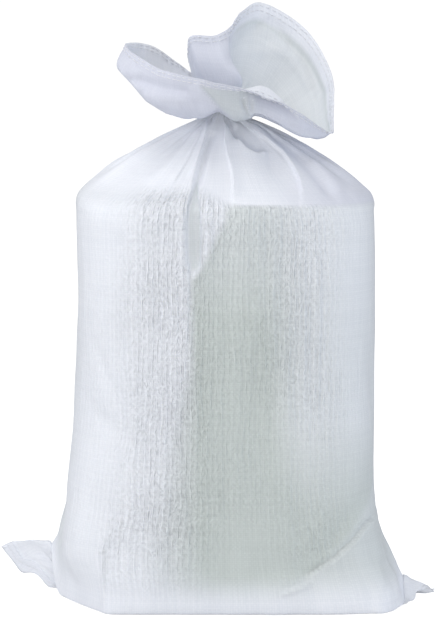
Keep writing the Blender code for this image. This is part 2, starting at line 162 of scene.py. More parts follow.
def moreColumns(grid, wanted):
    # a closed cubic curve round every ring, all rings at once, read at the wanted shares
    rows, columns = grid.shape[:2]
    points = grid.transpose(1, 0, 2).reshape(columns, rows * 3)
    return closedCurve(evenShares(columns), points, wanted).reshape(len(wanted), rows, 3).transpose(1, 0, 2)


def onSurface(grid, columnShares, share, row):
    # a point of a closed grid, blended from the four grid points round it
    rows, columns = grid.shape[:2]
    column = np.interp(np.mod(share, 1.0), np.append(columnShares, 1.0), np.arange(columns + 1))
    i, j = np.floor(column).astype(int), np.clip(np.floor(row), 0, rows - 2).astype(int)
    f, g = (column - i)[..., None], (row - j)[..., None]
    here, ahead = i % columns, (i + 1) % columns
    return ((1 - g) * ((1 - f) * grid[j, here] + f * grid[j, ahead])
            + g * ((1 - f) * grid[j + 1, here] + f * grid[j + 1, ahead]))


def unit(vectors):
    # each one divided by its length
    return vectors / np.maximum(np.linalg.norm(vectors, axis=-1, keepdims=True), 1e-12)


def gridNormals(grid):
    # the unit cross product of the step round the tube and the step up it
    around = np.roll(grid, -1, axis=1) - np.roll(grid, 1, axis=1)
    return unit(np.cross(around, np.gradient(grid, axis=0)))


def lengthAlong(points):
    # from the first point to each one, along the line
    return np.concatenate([[0.0], np.cumsum(np.linalg.norm(np.diff(points, axis=0), axis=1))])


def smoothStep(low, high, value):
    # 0 below low, 1 above high, and an even S between
    f = np.clip((value - low) / (high - low), 0.0, 1.0)
    return f * f * (3 - 2 * f)


def hump(value, middle, width):
    # a bell of height 1
    return np.exp(-((value - middle) / width) ** 2)


def addMesh(name, points, corners, starts, uv, material, layers=None):
    # one object from its points, the corners of its faces one after another, and where each face starts
    mesh = bpy.data.meshes.new(name)
    mesh.vertices.add(len(points))
    mesh.vertices.foreach_set("co", (points + neckAxis).astype(np.float32).ravel())
    mesh.loops.add(len(corners))
    mesh.loops.foreach_set("vertex_index", corners.astype(np.int32))
    mesh.polygons.add(len(starts))
    mesh.polygons.foreach_set("loop_start", starts.astype(np.int32))
    mesh.polygons.foreach_set("use_smooth", np.ones(len(starts), bool))
    mesh.update(calc_edges=True)
    mesh.uv_layers.new(name="clothMetres").data.foreach_set("uv", uv.astype(np.float32).ravel())
    for layerName, values in (layers or {}).items():
        layer = mesh.attributes.new(layerName, "FLOAT", "POINT")
        layer.data.foreach_set("value", values.astype(np.float32).ravel())
    mesh.materials.append(material)
    piece = bpy.data.objects.new(name, mesh)
    bpy.context.scene.collection.objects.link(piece)
    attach(piece, "root")
    return piece


def meshFromGrid(name, grid, uvAround, uvAlong, material, layers=None, closedRows=False):
    # quads between neighbouring points; the last column joins the first, and on a ring-shaped shell
    # the last row joins the first as well
    rows, columns = grid.shape[:2]
    j, i = np.meshgrid(np.arange(rows if closedRows else rows - 1), np.arange(columns), indexing="ij")
    right, above = (i + 1) % columns, (j + 1) % rows
    faces = np.stack([j * columns + i, j * columns + right, above * columns + right, above * columns + i], -1)
    uvEdge = np.append(uvAround, uvAround[0] + clothSettings["roundTube"])
    uvRows = np.array(uvAlong)[:, None] + np.zeros(columns)
    u = np.stack([uvEdge[i], uvEdge[i + 1], uvEdge[i + 1], uvEdge[i]], -1)
    v = np.stack([uvRows[j, i], uvRows[j, right], uvRows[above, right], uvRows[above, i]], -1)
    return addMesh(name, grid.reshape(-1, 3), faces.ravel(), np.arange(0, faces.size, 4),
                   np.stack([u, v], -1).reshape(-1, 2), material, layers)


def sweptTubes(paths, ups, radii, sides):
    # round every point p of every path: p + r (cos a (t x up) + sin a up), with t the path's direction
    tangent = unit(np.gradient(paths, axis=1))
    across = unit(np.cross(tangent, ups))
    upright = np.cross(across, tangent)
    angle = (2 * math.pi * np.arange(sides) / sides)[:, None]
    return paths[:, :, None] + radii[..., None, None] * (
        np.cos(angle) * across[:, :, None] + np.sin(angle) * upright[:, :, None])


def meshFromTubes(name, tubes, material):
    # quads between the circles of each tube and a flat cap on both ends
    count, steps, sides = tubes.shape[:3]
    index = np.arange(count * steps * sides).reshape(count, steps, sides)
    ahead = np.roll(index, -1, axis=2)
    quads = np.stack([index[:, :-1], index[:, 1:], ahead[:, 1:], ahead[:, :-1]], -1).reshape(-1, 4)
    caps = np.concatenate([index[:, 0], index[:, -1, ::-1]])
    gaps = np.linalg.norm(np.diff(tubes.mean(axis=2), axis=1), axis=2)
    length = np.concatenate([np.zeros((count, 1)), np.cumsum(gaps, axis=1)], 1)
    u = np.repeat(length.ravel(), sides)
    turn = np.tile(np.arange(sides) / sides, count * steps)
    v = turn[quads]
    v[:, 2:][v[:, 2:] == 0] = 1.0           # the last quad round a circle ends at 1, not at 0
    uv = np.concatenate([np.stack([u[quads], v], -1).reshape(-1, 2),
                         np.stack([u[caps], turn[caps]], -1).reshape(-1, 2)])
    starts = np.concatenate([np.arange(len(quads)) * 4, quads.size + np.arange(len(caps)) * sides])
    corners = np.concatenate([quads.ravel(), caps.ravel()])
    return addMesh(name, tubes.reshape(-1, 3), corners, starts, uv, material)


# The filled body: level sections with rounded corners

bodySections = [
    # cloth from the seam, height in the middle, left and right, half widths, half depths, corner power
    (0.134, 0.0000, 0.061, 0.024, 0.2235, 0.2370, 0.133, 0.120, 6.0),
    (0.143, 0.0060, 0.065, 0.029, 0.2205, 0.2350, 0.137, 0.128, 5.4),
    (0.164, 0.0260, 0.076, 0.043, 0.2145, 0.2285, 0.140, 0.135, 4.4),
    (0.206, 0.0680, 0.104, 0.078, 0.2090, 0.2110, 0.141, 0.137, 3.6),
    (0.276, 0.1380, 0.148, 0.144, 0.2015, 0.1975, 0.141, 0.139, 3.1),
    (0.356, 0.2180, 0.218, 0.218, 0.1925, 0.1955, 0.141, 0.139, 2.9),
    (0.446, 0.3080, 0.308, 0.308, 0.1870, 0.1950, 0.141, 0.139, 2.8),
    (0.536, 0.3980, 0.398, 0.398, 0.1862, 0.1985, 0.140, 0.138, 2.8),
    (0.606, 0.4680, 0.468, 0.468, 0.1880, 0.2000, 0.138, 0.135, 2.8),
    (0.641, 0.5030, 0.503, 0.503, 0.1885, 0.1990, 0.136, 0.131, 2.8),
    (0.655, 0.5165, 0.5165, 0.5165, 0.1880, 0.1975, 0.132, 0.127, 2.7),
    (0.666, 0.5245, 0.5262, 0.5262, 0.1850, 0.1930, 0.123, 0.118, 2.5),
    (0.681, 0.5345, 0.5369, 0.5369, 0.1745, 0.1805, 0.109, 0.106, 2.3),
    (0.696, 0.5450, 0.5473, 0.5473, 0.1610, 0.1675, 0.096, 0.094, 2.2),
    (0.711, 0.5555, 0.5576, 0.5576, 0.1475, 0.1530, 0.084, 0.083, 2.1),
    (0.7265, 0.5665, 0.5680, 0.5680, 0.1325, 0.1375, 0.073, 0.073, 2.0),
    (0.742, 0.5770, 0.5783, 0.5783, 0.1140, 0.1205, 0.062, 0.062, 2.0),
    (0.758, 0.5880, 0.5886, 0.5886, 0.0940, 0.1040, 0.052, 0.052, 2.0),
    (0.774, 0.5985, 0.5990, 0.5990, 0.0750, 0.0860, 0.0425, 0.0425, 2.0),
    (0.789, 0.6090, 0.6090, 0.6090, 0.0550, 0.0665, 0.033, 0.033, 2.0),
    (0.800, 0.6165, 0.6165, 0.6165, 0.0400, 0.0490, 0.0260, 0.0260, 2.0),
    (0.809, 0.6235, 0.6235, 0.6235, 0.0260, 0.0300, 0.0195, 0.0195, 2.0),
    (0.817, 0.6300, 0.6300, 0.6300, 0.0150, 0.0150, 0.0145, 0.0145, 2.0),
    (0.823, 0.6360, 0.6360, 0.6360, 0.0135, 0.0135, 0.0135, 0.0135, 2.0),
]
baseRings = [
    # cloth from the seam, then the edge of the left ear (x, z) and of the right ear (x, z)
    (0.000, 0.2940, 0.0495, 0.2775, 0.0075),
    (0.015, 0.2800, 0.0580, 0.2690, 0.0150),
    (0.040, 0.2570, 0.0620, 0.2520, 0.0205),
    (0.075, 0.2380, 0.0635, 0.2420, 0.0235),
    (0.108, 0.2270, 0.0632, 0.2380, 0.0245),
]
seamRise = {
    # distance of the seam from the middle, and its height, where it leaves the floor for an ear
    "left": [(0.222, 0.000), (0.2280, 0.0005), (0.2440, 0.0160), (0.2520, 0.0180), (0.2660, 0.0170),
             (0.2788, 0.0331), (0.2940, 0.0495)],
    "right": [(0.250, 0.000), (0.268, 0.0002), (0.2765, 0.0020)],
}
baseSettings = {
    "filledLeft": 0.228, "filledRight": 0.270,      # where the filled base ends and an ear starts
    "power": 5.0, "flapHalf": 0.0008,               # corner power, and half the thickness of a flat ear
    "curlFrom": 0.55, "curlOver": 0.45, "curlPower": 1.5,      # the ends of a section curl up over this share
    "liftStart": 0.170,                             # the ears' upper edges rise from here
    "ridgeHalf": 0.021, "ridgeBelow": 0.1,          # below this the ends rise in a ridge this wide
    "cutLeft": (0.824, 0.566, 0.1945),              # lines a |x| + b |y| = c cut off the foot's corners
    "cutRight": (0.8850, 0.4660, 0.2395),
    "cutPower": 60, "cutFade": (0.03, 0.13),        # how sharply, and the heights between which the cut ends
    "cutSlope": {"left": 0.30, "right": 0.05}, "cutReach": 0.125,      # and sooner nearer to the seam
    "earStart": 0.190, "earSwing": 0.43,            # the left ear swings back and the right one forward
    "swingFade": (0.05, 0.11),                      # and nothing swings above these heights
}


def endRidge(plan):
    # 1 along the long axis of the sack and nothing at its corners
    return np.exp(-(plan[:, 1] / baseSettings["ridgeHalf"]) ** 2)


def seamHeight(plan):
    # read from the two tables by the distance from the middle
    left, right = (np.array(seamRise[end]) for end in ("left", "right"))
    away = np.abs(plan[:, 0])
    return np.where(plan[:, 0] < 0, np.interp(away, left[:, 0], left[:, 1]),
                    np.interp(away, right[:, 0], right[:, 1]))


def swingEars(ring):
    # past the start of an ear, y moves by the distance from there times the swing
    past = np.maximum(np.abs(ring[:, 0]) - baseSettings["earStart"], 0.0)
    low = 1 - smoothStep(*baseSettings["swingFade"], ring[:, 2])
    ring[:, 1] -= np.sign(ring[:, 0]) * baseSettings["earSwing"] * past * low
    return ring


def evenQuarter(x, y, count):
    # points the same length apart along a finely drawn quarter
    along = np.concatenate([[0.0], np.cumsum(np.hypot(np.diff(x), np.diff(y)))])
    wanted = np.linspace(0.0, along[-1], count + 1)
    return np.stack([np.interp(wanted, along, x), np.interp(wanted, along, y)], axis=1)


def joinQuarters(quarter):
    # right end to back, back to left end, left end to front, front to right end
    flipX, flipY = np.array([-1.0, 1.0]), np.array([1.0, -1.0])
    return np.concatenate([quarter("right", "back")[:-1], (quarter("left", "back") * flipX)[::-1][:-1],
                           (quarter("left", "front") * flipX * flipY)[:-1],
                           (quarter("right", "front") * flipY)[::-1][:-1]])


def sectionRing(section, count):
    # |x / a| to the power n plus |y / b| to the power n is 1; the ends curl up by a power of x
    _, middle, left, right, halfLeft, halfRight, front, back, power = section
    b = baseSettings
    ends, sides = {"left": halfLeft, "right": halfRight}, {"front": front, "back": back}
    cut = 1 - smoothStep(*b["cutFade"], middle)

    def quarter(end, side):
        # the radius in each direction: the rounded rectangle and the cut corner, joined by a high power
        angle = np.linspace(0.0, math.pi / 2, 600)
        wide, deep = np.cos(angle) / ends[end], np.sin(angle) / sides[side]
        box = (wide.clip(0) ** power + deep.clip(0) ** power) ** (1 / power)
        cutX, cutY, cutAway = b["cutLeft" if end == "left" else "cutRight"]
        line = (cutX * np.cos(angle) + cutY * np.sin(angle)) / cutAway * cut
        radius = (box ** b["cutPower"] + line ** b["cutPower"]) ** (-1 / b["cutPower"])
        return evenQuarter(radius * np.cos(angle), radius * np.sin(angle), count // 4)

    plan = joinQuarters(quarter)
    share = np.where(plan[:, 0] < 0, -plan[:, 0] / halfLeft, plan[:, 0] / halfRight)
    curl = ((share - b["curlFrom"]) / b["curlOver"]).clip(0, 1) ** b["curlPower"]
    curl = curl * (endRidge(plan) if middle < b["ridgeBelow"] else 1.0)
    height = middle + (np.where(plan[:, 0] < 0, left, right) - middle) * curl
    return swingEars(np.column_stack([plan, height]))


def baseRing(ring, count):
    # a superellipse that reaches away from the seam, drawn out into a thin ear at each end
    reach, leftX, leftZ, rightX, rightZ = ring
    b = baseSettings
    filled, tips = {"left": b["filledLeft"], "right": b["filledRight"]}, {"left": leftX, "right": rightX}

    def quarter(end, side):
        x = np.linspace(tips[end], 0.0, 1600)
        y = reach * (1 - (x / filled[end]).clip(0, 1) ** b["power"]) ** (1 / b["power"])
        cutX, cutY, cutAway = b["cutLeft" if end == "left" else "cutRight"]
        sooner = b["cutSlope"][end] * (b["cutReach"] - reach)
        y = np.minimum(y, ((cutAway - sooner - cutX * x) / cutY).clip(0.0))
        y = y + b["flapHalf"]
        y[0] = 0.0
        return evenQuarter(x, y, count // 4)

    plan = joinQuarters(quarter)
    onLeft = plan[:, 0] < 0
    tip, top = np.where(onLeft, leftX, rightX), np.where(onLeft, leftZ, rightZ)
    seam, ends = seamHeight(plan), seamHeight(np.array([[-leftX, 0.0], [rightX, 0.0]]))
    rise = ((np.abs(plan[:, 0]) - b["liftStart"]) / (tip - b["liftStart"])).clip(0, 1) ** b["curlPower"]
    height = seam + (top - np.where(onLeft, ends[0], ends[1])) * rise * endRidge(plan)
    return swingEars(np.column_stack([plan, height]))


# The cloth between the neck and the rim: share of the way round, then a point of the rim,
# one at two thirds and one at a third of the way from the neck to the rim

mouthStations = [
    (0.000, (0.146, 0.020, 0.635), (0.122, 0.018, 0.609), (0.068, 0.012, 0.617)),
    (0.066, (0.143, 0.068, 0.682), (0.117, 0.056, 0.642), (0.062, 0.034, 0.624)),
    (0.139, (0.110, 0.102, 0.736), (0.091, 0.082, 0.687), (0.050, 0.050, 0.644)),
    (0.209, (0.053, 0.098, 0.770), (0.048, 0.081, 0.716), (0.030, 0.052, 0.660)),
    (0.245, (0.029, 0.070, 0.760), (0.024, 0.064, 0.716), (0.014, 0.044, 0.666)),
    (0.270, (0.019, 0.045, 0.750), (0.010, 0.044, 0.706), (0.006, 0.034, 0.664)),
    (0.290, (0.012, 0.028, 0.740), (0.006, 0.020, 0.700), (0.012, 0.022, 0.658)),
    (0.306, (0.004, 0.016, 0.733), (0.014, 0.000, 0.692), (0.020, 0.004, 0.655)),
    (0.326, (-0.010, 0.004, 0.727), (0.000, -0.010, 0.690), (0.004, -0.004, 0.656)),
    (0.360, (-0.039, 0.004, 0.727), (-0.030, -0.002, 0.692), (-0.014, 0.002, 0.656)),
    (0.385, (-0.043, 0.022, 0.711), (-0.034, 0.016, 0.682), (-0.021, 0.014, 0.654)),
    (0.411, (-0.041, 0.040, 0.693), (-0.034, 0.032, 0.668), (-0.023, 0.022, 0.648)),
    (0.436, (-0.035, 0.056, 0.677), (-0.032, 0.046, 0.657), (-0.024, 0.028, 0.641)),
    (0.462, (-0.056, 0.059, 0.690), (-0.048, 0.046, 0.662), (-0.030, 0.028, 0.639)),
    (0.513, (-0.091, 0.036, 0.714), (-0.086, 0.026, 0.678), (-0.048, 0.013, 0.641)),
    (0.564, (-0.121, -0.002, 0.718), (-0.123, -0.010, 0.690), (-0.068, -0.010, 0.640)),
    (0.586, (-0.118, -0.022, 0.710), (-0.130, -0.030, 0.683), (-0.072, -0.023, 0.634)),
    (0.615, (-0.102, -0.042, 0.700), (-0.114, -0.050, 0.666), (-0.068, -0.037, 0.627)),
    (0.655, (-0.076, -0.070, 0.686), (-0.080, -0.068, 0.648), (-0.050, -0.048, 0.622)),
    (0.723, (-0.027, -0.108, 0.675), (-0.024, -0.096, 0.644), (-0.014, -0.058, 0.624)),
    (0.773, (0.020, -0.110, 0.664), (0.021, -0.093, 0.633), (0.013, -0.057, 0.620)),
    (0.805, (0.048, -0.101, 0.654), (0.045, -0.088, 0.624), (0.028, -0.053, 0.619)),
    (0.840, (0.077, -0.088, 0.643), (0.072, -0.080, 0.616), (0.043, -0.046, 0.620)),
    (0.879, (0.104, -0.068, 0.628), (0.099, -0.065, 0.603), (0.057, -0.036, 0.619)),
    (0.914, (0.125, -0.045, 0.613), (0.120, -0.043, 0.597), (0.067, -0.022, 0.617)),
    (0.947, (0.142, -0.020, 0.604), (0.132, -0.018, 0.595), (0.070, -0.006, 0.616)),
]
mouthBulges = [
    # share of the way round and half width, share from neck to rim and half width, and how far it moves
    (0.308, 0.016, 0.48, 0.15, (0.012, -0.008, 0.004)),     # the petal's lower edge stands out over the cup
    (0.276, 0.014, 0.52, 0.18, (-0.010, 0.002, 0.000)),     # and the cloth behind it is tucked in
    (0.812, 0.040, 0.84, 0.090, (0.002, 0.016, 0.028)),     # a hump behind the front hem
    (0.130, 0.060, 0.55, 0.110, (-0.002, 0.007, -0.002)),   # the cup is hollow below its brim
    (0.215, 0.030, 0.74, 0.070, (0.000, 0.005, 0.002)),
]
mouthUnderside = [
    # x, and the lowest that the lobes hang there, 60 mm in front of the neck
    (-0.132, 0.6880), (-0.119, 0.6744), (-0.112, 0.6666), (-0.096, 0.6471), (-0.071, 0.6318),
      (-0.041, 0.6220),
    (-0.022, 0.6250), (-0.009, 0.6316), (-0.003, 0.6337), (0.009, 0.6250), (0.018, 0.6202),
      (0.030, 0.6220), (0.038, 0.6250),
    (0.041, 0.6290), (0.049, 0.6280), (0.069, 0.6190), (0.088, 0.6065), (0.098, 0.6013), (0.108, 0.5986),
    (0.122, 0.5992), (0.132, 0.6026), (0.140, 0.6090),
]
cupFolds = [
    # inside the mouth: the brim turns outwards along the first line
    ([(0.034, 0.727), (0.042, 0.737), (0.050, 0.742), (0.063, 0.743), (0.075, 0.735), (0.085, 0.723),
      (0.097, 0.709), (0.113, 0.692),
      (0.121, 0.675), (0.129, 0.655), (0.128, 0.630)], 0.0080, 0.0060, 0.0052, "ridge"),
    ([(0.034, 0.693), (0.042, 0.705), (0.064, 0.708), (0.084, 0.704), (0.098, 0.693), (0.111, 0.673),
      (0.117, 0.653)],
     0.0080, 0.0080, -0.0028, "ridge"),
]
mouthFolds = [
    # the same kind of lines as on the shoulder, on the outside of the front
    ([(-0.126, 0.672), (-0.104, 0.673), (-0.074, 0.664),
      (-0.036, 0.657)], 0.0070, 0.0060, -0.0052, "ridge"),
    ([(-0.100, 0.655), (-0.085, 0.650), (-0.070, 0.640)], 0.0080, 0.0070, 0.0030, "ridge"),
    ([(-0.031, 0.674), (-0.021, 0.660), (-0.012, 0.650), (-0.004, 0.640),
      (0.005, 0.628)], 0.0100, 0.0120, 0.0034, "edgeRight"),
    ([(0.026, 0.652), (0.028, 0.642), (0.031, 0.634), (0.034, 0.622)], 0.0022, 0.0026, -0.0044, "ridge"),
    ([(0.036, 0.650), (0.037, 0.640), (0.038, 0.630), (0.040, 0.622)], 0.0022, 0.0026, -0.0036, "ridge"),
    ([(0.045, 0.632), (0.070, 0.624), (0.100, 0.610), (0.125, 0.604)], 0.0040, 0.0040, -0.0020, "ridge"),
    ([(-0.100, 0.652), (-0.080, 0.648), (-0.060, 0.640), (-0.045, 0.634)], 0.0080, 0.0060, 0.0030, "ridge"),
    ([(-0.060, 0.655), (-0.040, 0.646), (-0.022, 0.638)], 0.0040, 0.0040, -0.0016, "ridge"),
]
neckSettings = {
    "low": 0.630, "high": 0.640, "radius": 0.0140, "heart": 0.0095, "pleats": 17,
    "broadGather": (0.705, 0.060), "deepGap": (0.812, 0.010),      # share of the way round, and half width
}


def gathers(around):
    # 0 to about 1 round the tube: a cosine whose phase and height drift, so that no two gathers are alike,
    # with one broad gather in front of the others and a deep gap at its right
    drift = 0.9 * softNoise(around, np.zeros_like(around), 9, 1, 5)
    wave = 0.5 + 0.5 * np.cos(2 * math.pi * neckSettings["pleats"] * around + drift)
    uneven = wave ** 0.8 * (0.85 + 0.15 * softNoise(around, np.zeros_like(around), 27, 1, 6)).clip(0.4, 1.15)
    broad, deep = hump(around, *neckSettings["broadGather"]), hump(around, *neckSettings["deepGap"])
    return np.maximum(uneven, 1.05 * broad) * (1 - 0.7 * deep)


def neckRing(height, count):
    # a star: the cloth runs in to the heart of the neck and out again with every gather
    share = evenShares(count)
    angle = 2 * math.pi * share
    radius = neckSettings["heart"] + (neckSettings["radius"] - neckSettings["heart"]) * gathers(share)
    return np.column_stack([radius * np.cos(angle), radius * np.sin(angle), np.full(count, height)])


# Settling: cloth that is longer than the form it lies on buckles into folds

def settleCloth(smooth, streak, slack, settling):
    # the cloth's rest distances are the smooth form's steps, made longer round the tube by the slack,
    # but no longer than the whole tube allows.
    # Each pass draws neighbours back to them, half from each end, first round the tube and then along
    # it, irons out tight bends, and pulls a little back to the form, which the streaks have roughened
    form = smooth + gridNormals(smooth) * streak[..., None]
    columns = form.shape[1]
    around = np.linalg.norm(np.roll(smooth, -1, axis=1) - smooth, axis=2)
    restAround = np.minimum(around * slack, clothSettings["roundTube"] / columns)
    restAlong = np.linalg.norm(np.diff(smooth, axis=0), axis=2)
    cloth = form.copy()
    for _ in range(settling["turns"]):
        for start in (0, 1):
            gap = np.roll(cloth, -1, axis=1)[:, start::2] - cloth[:, start::2]
            length = np.linalg.norm(gap, axis=2, keepdims=True)
            push = 0.5 * gap * (1 - restAround[:, start::2, None] / np.maximum(length, 1e-9))
            cloth[:, start::2] += push
            cloth[:, (np.arange(start, columns, 2) + 1) % columns] -= push
        for start in (0, 1):
            end = start + 2 * ((len(cloth) - start) // 2)
            gap = cloth[start + 1:end:2] - cloth[start:end:2]
            length = np.linalg.norm(gap, axis=2, keepdims=True)
            push = 0.5 * gap * (1 - restAlong[start:end:2, :, None] / np.maximum(length, 1e-9))
            cloth[start:end:2] += push
            cloth[start + 1:end:2] -= push
        near = 0.5 * (np.roll(cloth, 1, axis=1) + np.roll(cloth, -1, axis=1))
        far = 0.5 * (np.roll(cloth, 2, axis=1) + np.roll(cloth, -2, axis=1))
        cloth += settling["stiffness"] * ((4 * near - far) / 3 - cloth)
        cloth[1:-1] += 0.5 * settling["stiffness"] * (0.5 * (cloth[:-2] + cloth[2:]) - cloth[1:-1])
        cloth += settling["hold"] * (form - cloth)
        for fixed in (slice(0, settling["fixedLow"]), slice(len(cloth) - settling["fixedHigh"], None)):
            cloth[fixed] = form[fixed]
    return cloth


# Folds drawn as lines on the front: points (x, z), half width across at the first and the last point,
# height, and form. A ridge or valley is a bell. An edge is a layer of cloth that ends along the line:
# a steep step on one side, which dies away over the width on the other.

edgeStep = 0.0012      # width of the steep side of an edge
frontFolds = [
    # the deep valley from the neck to the dart, and the layer that ends above it
    ([(-0.0106, 0.6096), (-0.0189, 0.5848), (-0.0260, 0.5605),
      (-0.0315, 0.5414)], 0.0050, 0.0054, -0.0058, "ridge"),
    ([(-0.0128, 0.6232), (-0.0223, 0.5946), (-0.0299, 0.5701), (-0.0354, 0.5484),
      (-0.0375, 0.5300)], 0.0060, 0.0080, 0.0060, "edgeRight"),
    # the next layer to the right of it
    ([(0.0063, 0.6197), (0.0055, 0.5946), (0.0088, 0.5750), (0.0139, 0.5581), (0.0151, 0.5391),
      (0.0137, 0.5180)], 0.0080, 0.0110, 0.0048, "edgeLeft"),
    # the dark gap under the neck, and the pocket that it runs into
    ([(0.0040, 0.6260), (0.0102, 0.6147), (0.0154, 0.6071),
      (0.0219, 0.5947)], 0.0022, 0.0028, -0.0062, "ridge"),
    ([(0.0180, 0.6020), (0.0219, 0.5947), (0.0309, 0.5848), (0.0425, 0.5793),
      (0.0600, 0.5815)], 0.0080, 0.0110, 0.0050, "edgeRight"),
    ([(0.0155, 0.6146), (0.0284, 0.5996), (0.0414, 0.5880),
      (0.0560, 0.5840)], 0.0050, 0.0060, -0.0036, "ridge"),
    # the long curved layers on the right
    ([(0.0286, 0.6157), (0.0571, 0.5968), (0.0777, 0.5794), (0.0903, 0.5623), (0.0976, 0.5477),
      (0.1010, 0.5335), (0.0990, 0.5160)], 0.0100, 0.0130, 0.0050, "edgeLeft"),
    ([(0.0574, 0.6065), (0.0781, 0.5914), (0.0960, 0.5765), (0.1113, 0.5617), (0.1263, 0.5446),
      (0.1410, 0.5240)], 0.0060, 0.0060, -0.0036, "ridge"),
    ([(0.0578, 0.6146), (0.0788, 0.6029), (0.0969, 0.5892), (0.1147, 0.5732), (0.1297, 0.5574),
      (0.1472, 0.5391), (0.1540, 0.5200)], 0.0060, 0.0070, 0.0024, "ridge"),
    ([(0.1002, 0.5971), (0.1210, 0.5819), (0.1467, 0.5606), (0.1668, 0.5397),
      (0.1753, 0.5191)], 0.0060, 0.0080, 0.0020, "ridge"),
    # the diagonal fold at the right of the foot: two crisp lengths and a faint one
    ([(0.2020, 0.1175), (0.1826, 0.1071), (0.1693, 0.0924), (0.1474, 0.0735), (0.1278, 0.0617),
      (0.1029, 0.0476)], 0.0110, 0.0080, 0.0044, "edgeLeft"),
    ([(0.1990, 0.1190), (0.1806, 0.1093), (0.1673, 0.0947), (0.1454, 0.0758), (0.1258, 0.0640),
      (0.1029, 0.0500)], 0.0032, 0.0026, -0.0034, "ridge"),
    ([(0.1160, 0.0440), (0.0957, 0.0350), (0.0735, 0.0268)], 0.0028, 0.0024, 0.0040, "ridge"),
    ([(0.1140, 0.0470), (0.0937, 0.0380), (0.0735, 0.0298)], 0.0028, 0.0024, -0.0016, "ridge"),
    ([(0.2080, 0.0620), (0.2120, 0.0400), (0.2100, 0.0200)], 0.0060, 0.0040, -0.0018, "ridge"),
    ([(0.2230, 0.0480), (0.2250, 0.0300), (0.2230, 0.0120)], 0.0040, 0.0040, 0.0016, "ridge"),
    ([(-0.1480, 0.0900), (-0.1485, 0.0510), (-0.1481, 0.0224),
      (-0.1485, 0.0010)], 0.0060, 0.0040, 0.0030, "edgeRight"),
    # finer pleats on the left
    ([(-0.0238, 0.6156), (-0.0470, 0.5844), (-0.0700, 0.5623),
      (-0.1018, 0.5403)], 0.0040, 0.0070, 0.0024, "ridge"),
    ([(-0.0224, 0.6070), (-0.0365, 0.5822), (-0.0480, 0.5626),
      (-0.0618, 0.5434)], 0.0040, 0.0060, 0.0024, "edgeRight"),
    ([(-0.0190, 0.6045), (-0.0288, 0.5822), (-0.0389, 0.5603),
      (-0.0464, 0.5436)], 0.0030, 0.0050, -0.0018, "ridge"),
    ([(-0.0265, 0.6190), (-0.0577, 0.5939), (-0.0887, 0.5713),
      (-0.1169, 0.5514)], 0.0050, 0.0090, -0.0018, "ridge"),
]


def foldHeight(grid, folds):
    # the distance from each point to the line, seen from the front, gives the height of the fold
    x, z = grid[..., 0], grid[..., 2]
    total = np.zeros(x.shape)
    for points, widthStart, widthEnd, height, form in folds:
        points = np.array(points)
        steps = lengthAlong(points)
        share = steps / steps[-1]
        best, side, along = np.full(x.shape, 1e9), np.zeros(x.shape), np.zeros(x.shape)
        for k in range(len(points) - 1):
            dx, dz = points[k + 1] - points[k]
            f = ((x - points[k, 0]) * dx + (z - points[k, 1]) * dz) / (dx * dx + dz * dz)
            f = f.clip(0, 1)
            awayX, awayZ = x - points[k, 0] - f * dx, z - points[k, 1] - f * dz
            away = np.hypot(awayX, awayZ)
            near = away < best
            best = np.where(near, away, best)
            # the side is above 0 at +X of a line that runs down
            side = np.where(near, np.sign(awayX * -dz + awayZ * dx), side)
            along = np.where(near, share[k] + f * (share[k + 1] - share[k]), along)
        width = widthStart + (widthEnd - widthStart) * along
        t = best * side / width
        if form == "ridge":
            shape = np.exp(-t * t)
        else:                          # a layer that lies to one side and ends at the line
            over = t if form == "edgeLeft" else -t
            shape = np.where(over > 0, np.exp(-over), np.exp(-(best / edgeStep) ** 2))
        ends = smoothStep(0.0, 0.12, along) * (1 - smoothStep(0.85, 1.0, along))
        total += height * shape * (0.15 + 0.85 * ends) * (best < 6 * width)
    return total


rowPlan = {
    # share of the rows, and the cloth from the seam that they have reached: closer together on the
    # shoulder and about the foot
    "rows": [0.0, 0.08, 0.36, 0.62, 1.0],
    "cloth": [0.0, 0.100, 0.300, 0.600, 0.823],
}


def bodyForm():
    # the smooth sack, coarse, with its cloth length from the seam on each row
    count = clothSettings["coarseColumns"]
    rings = [baseRing(ring, count) for ring in baseRings] + [sectionRing(s, count) for s in bodySections]
    knots = [ring[0] for ring in baseRings] + [section[0] for section in bodySections]
    wanted = np.interp(np.linspace(0, 1, clothSettings["bodyRows"]), rowPlan["rows"], rowPlan["cloth"])
    wanted[-1] = knots[-1]
    return throughRows(knots, rings, wanted), wanted


dart = [
    # height, then x of its left side, its bottom line and its right side, and its depth
    (0.4330, -0.0395, -0.0375, -0.0355, 0.0000),
    (0.4370, -0.0415, -0.0350, -0.0310, 0.0036),
    (0.4430, -0.0435, -0.0318, -0.0262, 0.0070),
    (0.4520, -0.0452, -0.0300, -0.0248, 0.0094),
    (0.4700, -0.0462, -0.0296, -0.0242, 0.0102),
    (0.5000, -0.0460, -0.0298, -0.0246, 0.0102),
    (0.5183, -0.0440, -0.0306, -0.0262, 0.0092),
    (0.5345, -0.0385, -0.0320, -0.0285, 0.0068),
    (0.5480, -0.0355, -0.0310, -0.0278, 0.0034),
    (0.5600, -0.0340, -0.0295, -0.0262, 0.0000),
]


def dartDepth(x, height):
    # a V between the two sides, read at each height, with its bottom and brims a little rounded
    table = np.array(dart)
    left, bottom, right, depth = (np.interp(height, table[:, 0], table[:, k]) for k in (1, 2, 3, 4))
    down = np.where(x < bottom, (x - left) / (bottom - left), (right - x) / (right - bottom))
    down = down.clip(0, 1)
    return depth * (down + 0.10 * np.sin(math.pi * down) * down)


def fillTop(x):
    # the contents stand 17 mm higher on the left of the dart than on the right
    return 0.5345 - 0.0165 * smoothStep(-0.040, 0.020, x)


